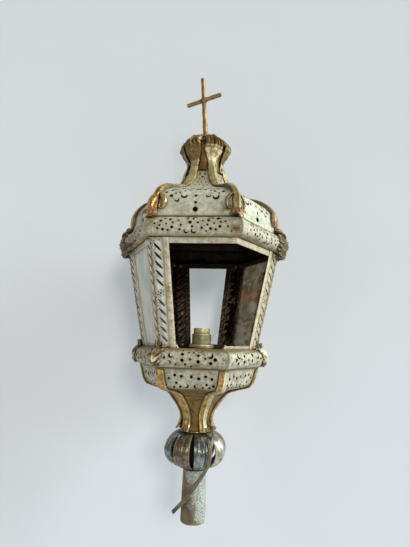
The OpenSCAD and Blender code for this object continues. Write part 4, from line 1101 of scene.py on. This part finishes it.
upright = Piece()
line = [(0, -11.3), (3.0, -11.3), (3.0, FOOT_UP), (5.4, FOOT_UP + 0.2)]
for i in range(41):
    z = FOOT_UP + 0.6 + 110.9 * i / 40
    braze = 1.3 * exp(-(z - FOOT_UP) / 5) + 0.5 * bell(z, BAR_UP, 3.6)
    line.append((4.3 - 0.8 * i / 40 + braze + 0.12 * sin(z / 3.7), z))
upright.turned(line + [(3.1, END_UP)], n=28)
upright.turned([(3.1, END_UP), (2.6, END_UP + 0.4), (0, END_UP + 0.4)], n=28, kind=1)
upright.moved(CROSS_FRAME)
make("cross_upright_rod", "cross_upright", upright, [cross_brass, sawn_end], "cross")

bar = Piece()
for side in (-1, 1):
    profile = [(0.4, 33.0), (2.9, 33.0), (3.5, 32.4)]
    profile += [(3.55 + 0.1 * sin(x / 2.9 + side) + 1.2 * exp(-(x - 3.2) / 1.6), x) for x in np.linspace(31, 3.2, 24)]
    rows = [[(side * x, r * cos(TURN * k / 24), BAR_UP + r * sin(TURN * k / 24)) for k in range(24)]
            for r, x in profile]
    bar.grid(rows[:3], 1, wrap=True, caps=True)
    bar.grid(rows[2:], wrap=True)
bar.moved(CROSS_FRAME)
make("cross_bar_rods", "cross_bar", bar, [cross_brass, sawn_end], "cross")

ferrule = Piece()
ferrule.turned([(3.1, -6), (5.5, -6), (5.6, 0.8), (7.4, 0.9), (7.7, 1.6), (7.0, 3.0), (5.9, 5.2), (5.1, 7.9), (3.1, 8),
                (3.1, -6)], n=40)
ferrule.moved(CROSS_FRAME)
make("cross_ferrule", "ferrule", ferrule, [brown_gilt])


# ---------------------------------------------------------------- lamp holder

HOLDER = (4, 0)
thread = []
for i in range(12):
    z = 259.6 + 1.25 * i
    thread += [(15.15, z), (15.8, z + 0.3), (15.8, z + 0.7), (15.15, z + 1.0)]
barrel = [(11.7, 253.6), (15.4, 253.6), (15.8, 254.0), (15.8, 259.2)] + thread
barrel += [(15.0, 275.0), (14.2, 275.6), (12.0, 275.6), (12.0, 283.6), (11.2, 283.6), (11.2, 268.6), (11.7, 268.6),
           (11.7, 253.6)]
rim = [(12.06, 275.8), (12.9, 275.8), (13.1, 276.1), (13.1, 277.4), (12.8, 277.7), (12.8, 278.1), (13.1, 278.4),
       (13.1, 283.2)]
rim += [(12.1 + cos(a), 283.4 + sin(a)) for a in np.linspace(0.2, 1.5, 7)] + [(12.06, 284.4), (12.06, 275.8)]
shade_ring = [(15.86, 253.9), (19.0, 253.9), (19.7, 254.4), (19.8, 255.0), (19.1, 255.7), (19.1, 256.2), (19.8, 256.8),
              (19.7, 258.1), (18.8, 258.7), (15.86, 258.7), (15.86, 253.9)]
base = [(5.06, 250.2), (18.0, 250.2), (18.4, 250.7), (18.4, 251.6), (17.4, 252.4), (17.0, 253.4), (5.06, 253.4),
        (5.06, 250.2)]
lathed("holder_threaded_barrel", "holder_barrel", barrel, holder_brass, HOLDER)
lathed("holder_screw_rim", "holder_rim", rim, holder_brass, HOLDER)
lathed("holder_shade_ring", "shade_ring", shade_ring, holder_brass, HOLDER, 96,
       lambda a, r, z: -0.22 * (r > 18.5) * abs(sin(24 * a)), "shade_ring")
lathed("holder_base_flange", "holder_base", base, holder_brass, HOLDER)


# ---------------------------------------------------------------- turn button

button = Piece()
BUTTON_UP = 0.58 * CAGE_RISE
BUTTON_X = 4.25 - strip_out(BUTTON_UP)
rows = []
for n, inset in ((1.35, 0.3), (1.5, 0), (2.4, 0), (2.8, 0.35), (2.95, 0.9), (3.0, 1.5)):
    loop = []
    for a in (TURN * k / 40 for k in range(40)):
        reach = 2.3 if sin(a) > 0 else -2.3
        loop.append(on_face(270, BUTTON_X + (3.2 - inset) * cos(a), BUTTON_UP + reach + (3.2 - inset) * sin(a), n))
    rows.append(loop)
button.grid(rows, wrap=True, caps=True)
make("turn_button_plate", "turn_button", button, [pale_gilt], "turn_button")


# ---------------------------------------------------------------- flex

FLEX_ROUTE = [(10, -5, 142), (15, -7.5, 141), (20, -10, 140), (25, -13, 137.5), (28, -18, 134.5), (29, -25, 130.5),
              (29, -35, 125), (27.6, -42, 118), (26.1, -45.2, 109), (25.1, -45.2, 99), (24.1, -43, 90), (20, -34.5, 81),
              (15, -28, 72), (10, -24, 63.5), (4, -23, 54.5), (-2.5, -23, 45.5), (-9, -21.5, 37), (-16.5, -19, 28),
              (-23.5, -15.5, 20), (-29, -12, 13.5)]
FLEX_WIDTH = 5.8
CORE_R = 1.45


def flat_flex():
    """PVC twin flex, two cores side by side with a groove between them: olive brown, dusty on its ridges."""
    made, tree, place = new_material("aged_pvc_flex")
    blotch = add(tree, "TexNoise", {"Vector": place, "Scale": per_mm(13), "Detail": 6.0, "Roughness": 0.6})
    fine = add(tree, "TexNoise", {"Vector": place, "Scale": per_mm(1.0), "Detail": 3.0})
    edge = add(tree, "NewGeometry", out="Pointiness")
    colour = coated(tree, "#4c4028", (blotch, [(0.35, 0), (0.65, 1)], "#786a45"),
                    (edge, [(0.40, 0.8), (0.5, 0)], "#33291a"))
    # Darker towards the cut end
    height = add(tree, "SeparateXYZ", {"Vector": place}, out="Z")
    towards_end = add(tree, "MapRange", {"Value": height, "From Min": 24 * MM, "From Max": 13 * MM})
    colour = add(tree, "Mix", {"Factor": towards_end, "A": colour, "B": "#29221a"}, data_type="RGBA")
    relief = add(tree, "Bump", {"Height": fine, "Strength": 0.15, "Distance": 0.2 * MM})
    shader = add(tree, "BsdfPrincipled", {"Base Color": colour, "Roughness": 0.42, "IOR": 1.53, "Normal": relief})
    add(tree, "OutputMaterial", {"Surface": shader})
    return made


flex_line = through(FLEX_ROUTE, 150)
flex = Piece()
rows = []
for p, way in zip(flex_line, np.gradient(flex_line, axis=0)):
    way = Vector(way).normalized()
    out = Vector((p[0] + 6, p[1] - 12, 0))
    out = (out - way * out.dot(way)).normalized()
    section = []
    for a in (TURN * k / 20 for k in range(20)):
        x = 0.5 * FLEX_WIDTH * cos(a)
        lobe = sqrt(max(0, CORE_R ** 2 - (abs(x) - CORE_R) ** 2))
        y = copysign(max(lobe, 0.95 * (abs(x) < CORE_R)), sin(a)) if abs(sin(a)) > 1e-6 else 0
        section.append(Vector(p) + way.cross(out) * x + out * y)
    rows.append(section)
flex.grid(rows, wrap=True, caps=True)
flex_pvc = flat_flex()
cord = make("twin_flex", "flex", flex, [flex_pvc])
[c * MM for c in FLEX_ROUTE[0]]


# ---------------------------------------------------------------- glass and the solids that stay

def old_glass(name, dust_light, dust_dark, share, stain, band=0.0, stretch=0.35, glow=0.0):
    """Thin drawn window glass with a film of dust, streaks from wiping and old stains. share is the least and most that
    the film covers, band the strength of a brown tide mark across the middle of its height, stretch under 1 draws the
    streaks upright, and glow is the share of the light that the film lets through to the inside."""
    made, tree, place = new_material(name)
    tall = add(tree, "Mapping", {"Vector": place, "Scale": (1.0, 1.0, stretch)})
    film = add(tree, "TexNoise", {"Vector": tall, "Scale": per_mm(24), "Detail": 6.0, "Roughness": 0.6,
                                  "Distortion": 1.0})
    fine = add(tree, "TexNoise", {"Vector": place, "Scale": per_mm(4), "Detail": 6.0, "Roughness": 0.7})
    height = add(tree, "SeparateXYZ", {"Vector": place}, out="Z")
    level = add(tree, "MapRange", {"Value": height, "From Min": 262 * MM, "From Max": 395 * MM, "To Min": -0.25,
                                   "To Max": 0.75})
    level = add(tree, "Math", {0: film, 1: 0.5, 2: level}, operation="MULTIPLY_ADD")
    dirt = coated(tree, dust_light, (film, [(0.38, 0), (0.62, 1)], dust_dark),
                  (level, [(0.47, 0), (0.56, band), (0.68, band), (0.74, 0)], stain),
                  (fine, [(0.55, 0), (0.72, 0.6)], stain))
    cover = add(tree, "MapRange", {"Value": film, "From Min": 0.3, "From Max": 0.7, "To Min": share[0],
                                   "To Max": share[1]})
    relief = add(tree, "Bump", {"Height": film, "Strength": 0.08, "Distance": 1.0 * MM})
    glass = add(tree, "BsdfPrincipled", {"Base Color": dirt, "Roughness": 0.18, "IOR": 1.5, "Normal": relief})
    lit_film = add(tree, "BsdfTranslucent", {"Color": dirt})
    dusty = add(tree, "MixShader", {"Fac": glow, 1: glass, 2: lit_film})
    pane = add(tree, "MixShader", {"Fac": cover, 1: add(tree, "BsdfTransparent"), 2: dusty})
    add(tree, "OutputMaterial", {"Surface": pane})
    return made


# Solids that are shown as they were built
PLAIN = {
    "pane_left": old_glass("dusty_glass_pale", "#dcd3b8", "#a9b4ae", (0.86, 0.98), "#b59f74"),
    # The back left pane, seen from inside, is a darker copy of the dusty glass: painted shade
    "pane_back_left": old_glass("dusty_glass_painted_shade", "#6f6c62", "#4c4a42", (0.7, 0.92), "#6a563a"),
    "pane_back_right": old_glass("stained_glass_brown", "#b7b1a2", "#857152", (0.90, 0.99), "#ae7d50", band=0.6,
                                 stretch=1.8, glow=0.6),
    # The floor plate takes the near-black back material: painted shade inside the base
    "floor_plate": painted_shade, "core_tube": dark_core, "rivets": strip_metal, "button_rivet": gilt, "cross_nut": dark_core,
    "nipple": holder_brass, "lock_nut": holder_brass, "plungers": holder_brass, "lead": flex_pvc,
    # White glazed ware, smooth and a little yellowed
    "insulator": aged_metal("glazed_porcelain", "#d8d2c4", "#bdb5a2", "#6b5f4a", "#f4f0e6", metallic=0.0,
                            rough=(0.12, 0.25)),
}
for node, material in PLAIN.items():
    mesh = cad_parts[node].data
    mesh.materials.clear()
    mesh.materials.append(material)


# ---------------------------------------------------------------- studio

FLOOR_Z, WALL_Y, PAPER_HALF = -700, 145, 2800


def backdrop():
    """Pale sweep of paper: floor well below the lantern, curving up into a wall close behind it."""
    paper, tree, place = new_material("pale_backdrop_paper")
    grain = add(tree, "TexNoise", {"Vector": place, "Scale": per_mm(160), "Detail": 2.0})
    tone = add(tree, "Mix", {"Factor": grain, "A": "#dde1e5", "B": "#e0e4e8"}, data_type="RGBA")
    # Its own tone shows to the eye, in metal and through glass, and adds no light to the lantern
    seen = add(tree, "LightPath", out="Is Camera Ray")
    shown = seen
    for ray in ("Is Glossy Ray", "Is Transmission Ray"):
        shown = add(tree, "Math", {0: shown, 1: add(tree, "LightPath", out=ray)}, operation="MAXIMUM")
    shown = add(tree, "MapRange", {"Value": shown, "To Max": 0.2})
    both = add(tree, "MixShader", {"Fac": shown, 1: add(tree, "BsdfDiffuse", {"Color": tone}),
                                   2: add(tree, "Emission", {"Color": tone, "Strength": 1.0})})
    # A view from behind looks through it
    behind = add(tree, "NewGeometry", out="Backfacing")
    gone = add(tree, "Math", {0: behind, 1: seen}, operation="MULTIPLY")
    shader = add(tree, "MixShader", {"Fac": gone, 1: both, 2: add(tree, "BsdfTransparent")})
    add(tree, "OutputMaterial", {"Surface": shader})
    sweep = [(-2600, FLOOR_Z), (-1200, FLOOR_Z)]
    sweep += curve((-300, FLOOR_Z), (50, FLOOR_Z), (WALL_Y, -600), (WALL_Y, -250), 16) + [(WALL_Y, 800), (WALL_Y, 2400)]
    mesh = bpy.data.meshes.new("backdrop")
    points = [Vector((x, y, z)) * MM for y, z in sweep for x in (-PAPER_HALF, PAPER_HALF)]
    faces = [(2 * i, 2 * i + 1, 2 * i + 3, 2 * i + 2) for i in range(len(sweep) - 1)]
    mesh.from_pydata(points, [], faces)
    mesh.polygons.foreach_set("use_smooth", [True] * len(faces))
    mesh.materials.append(paper)
    made = bpy.data.objects.new("backdrop", mesh)
    bpy.context.scene.collection.objects.link(made)


backdrop()


CAGE_MIDDLE = Vector((0, 0, 320))


def soft_lamp(name, eye, size, power, colour):
    """Square lamp that faces the middle of the cage."""
    data = bpy.data.lights.new(name, "AREA")
    data.color = linear(colour)[:3]
    data.size = size * MM
    data.energy = power
    look_along(name, data, eye, CAGE_MIDDLE - Vector(eye))


soft_lamp("front_fill", (2100, -5300, 1780), 1400, 125, "#fff4ea")
soft_lamp("left_fill", (-1900, -1900, 700), 1200, 8, "#fff6ea")

# Daylight from a wide window far to the right: even across the whole backdrop, and soft
window = bpy.data.lights.new("window_right", "SUN")
window.energy = 5.3
window.color = linear("#e9f7fa")[:3]
window.angle = radians(34)
look_along("window_right", window, (1500, -200, 900), (-1400, 170, -680))

world = bpy.data.worlds.new("studio_air")
bpy.context.scene.world = world
world.use_nodes = True
air = world.node_tree.nodes["Background"].inputs
air["Color"].default_value = linear("#d9dde0")
air["Strength"].default_value = 0.22
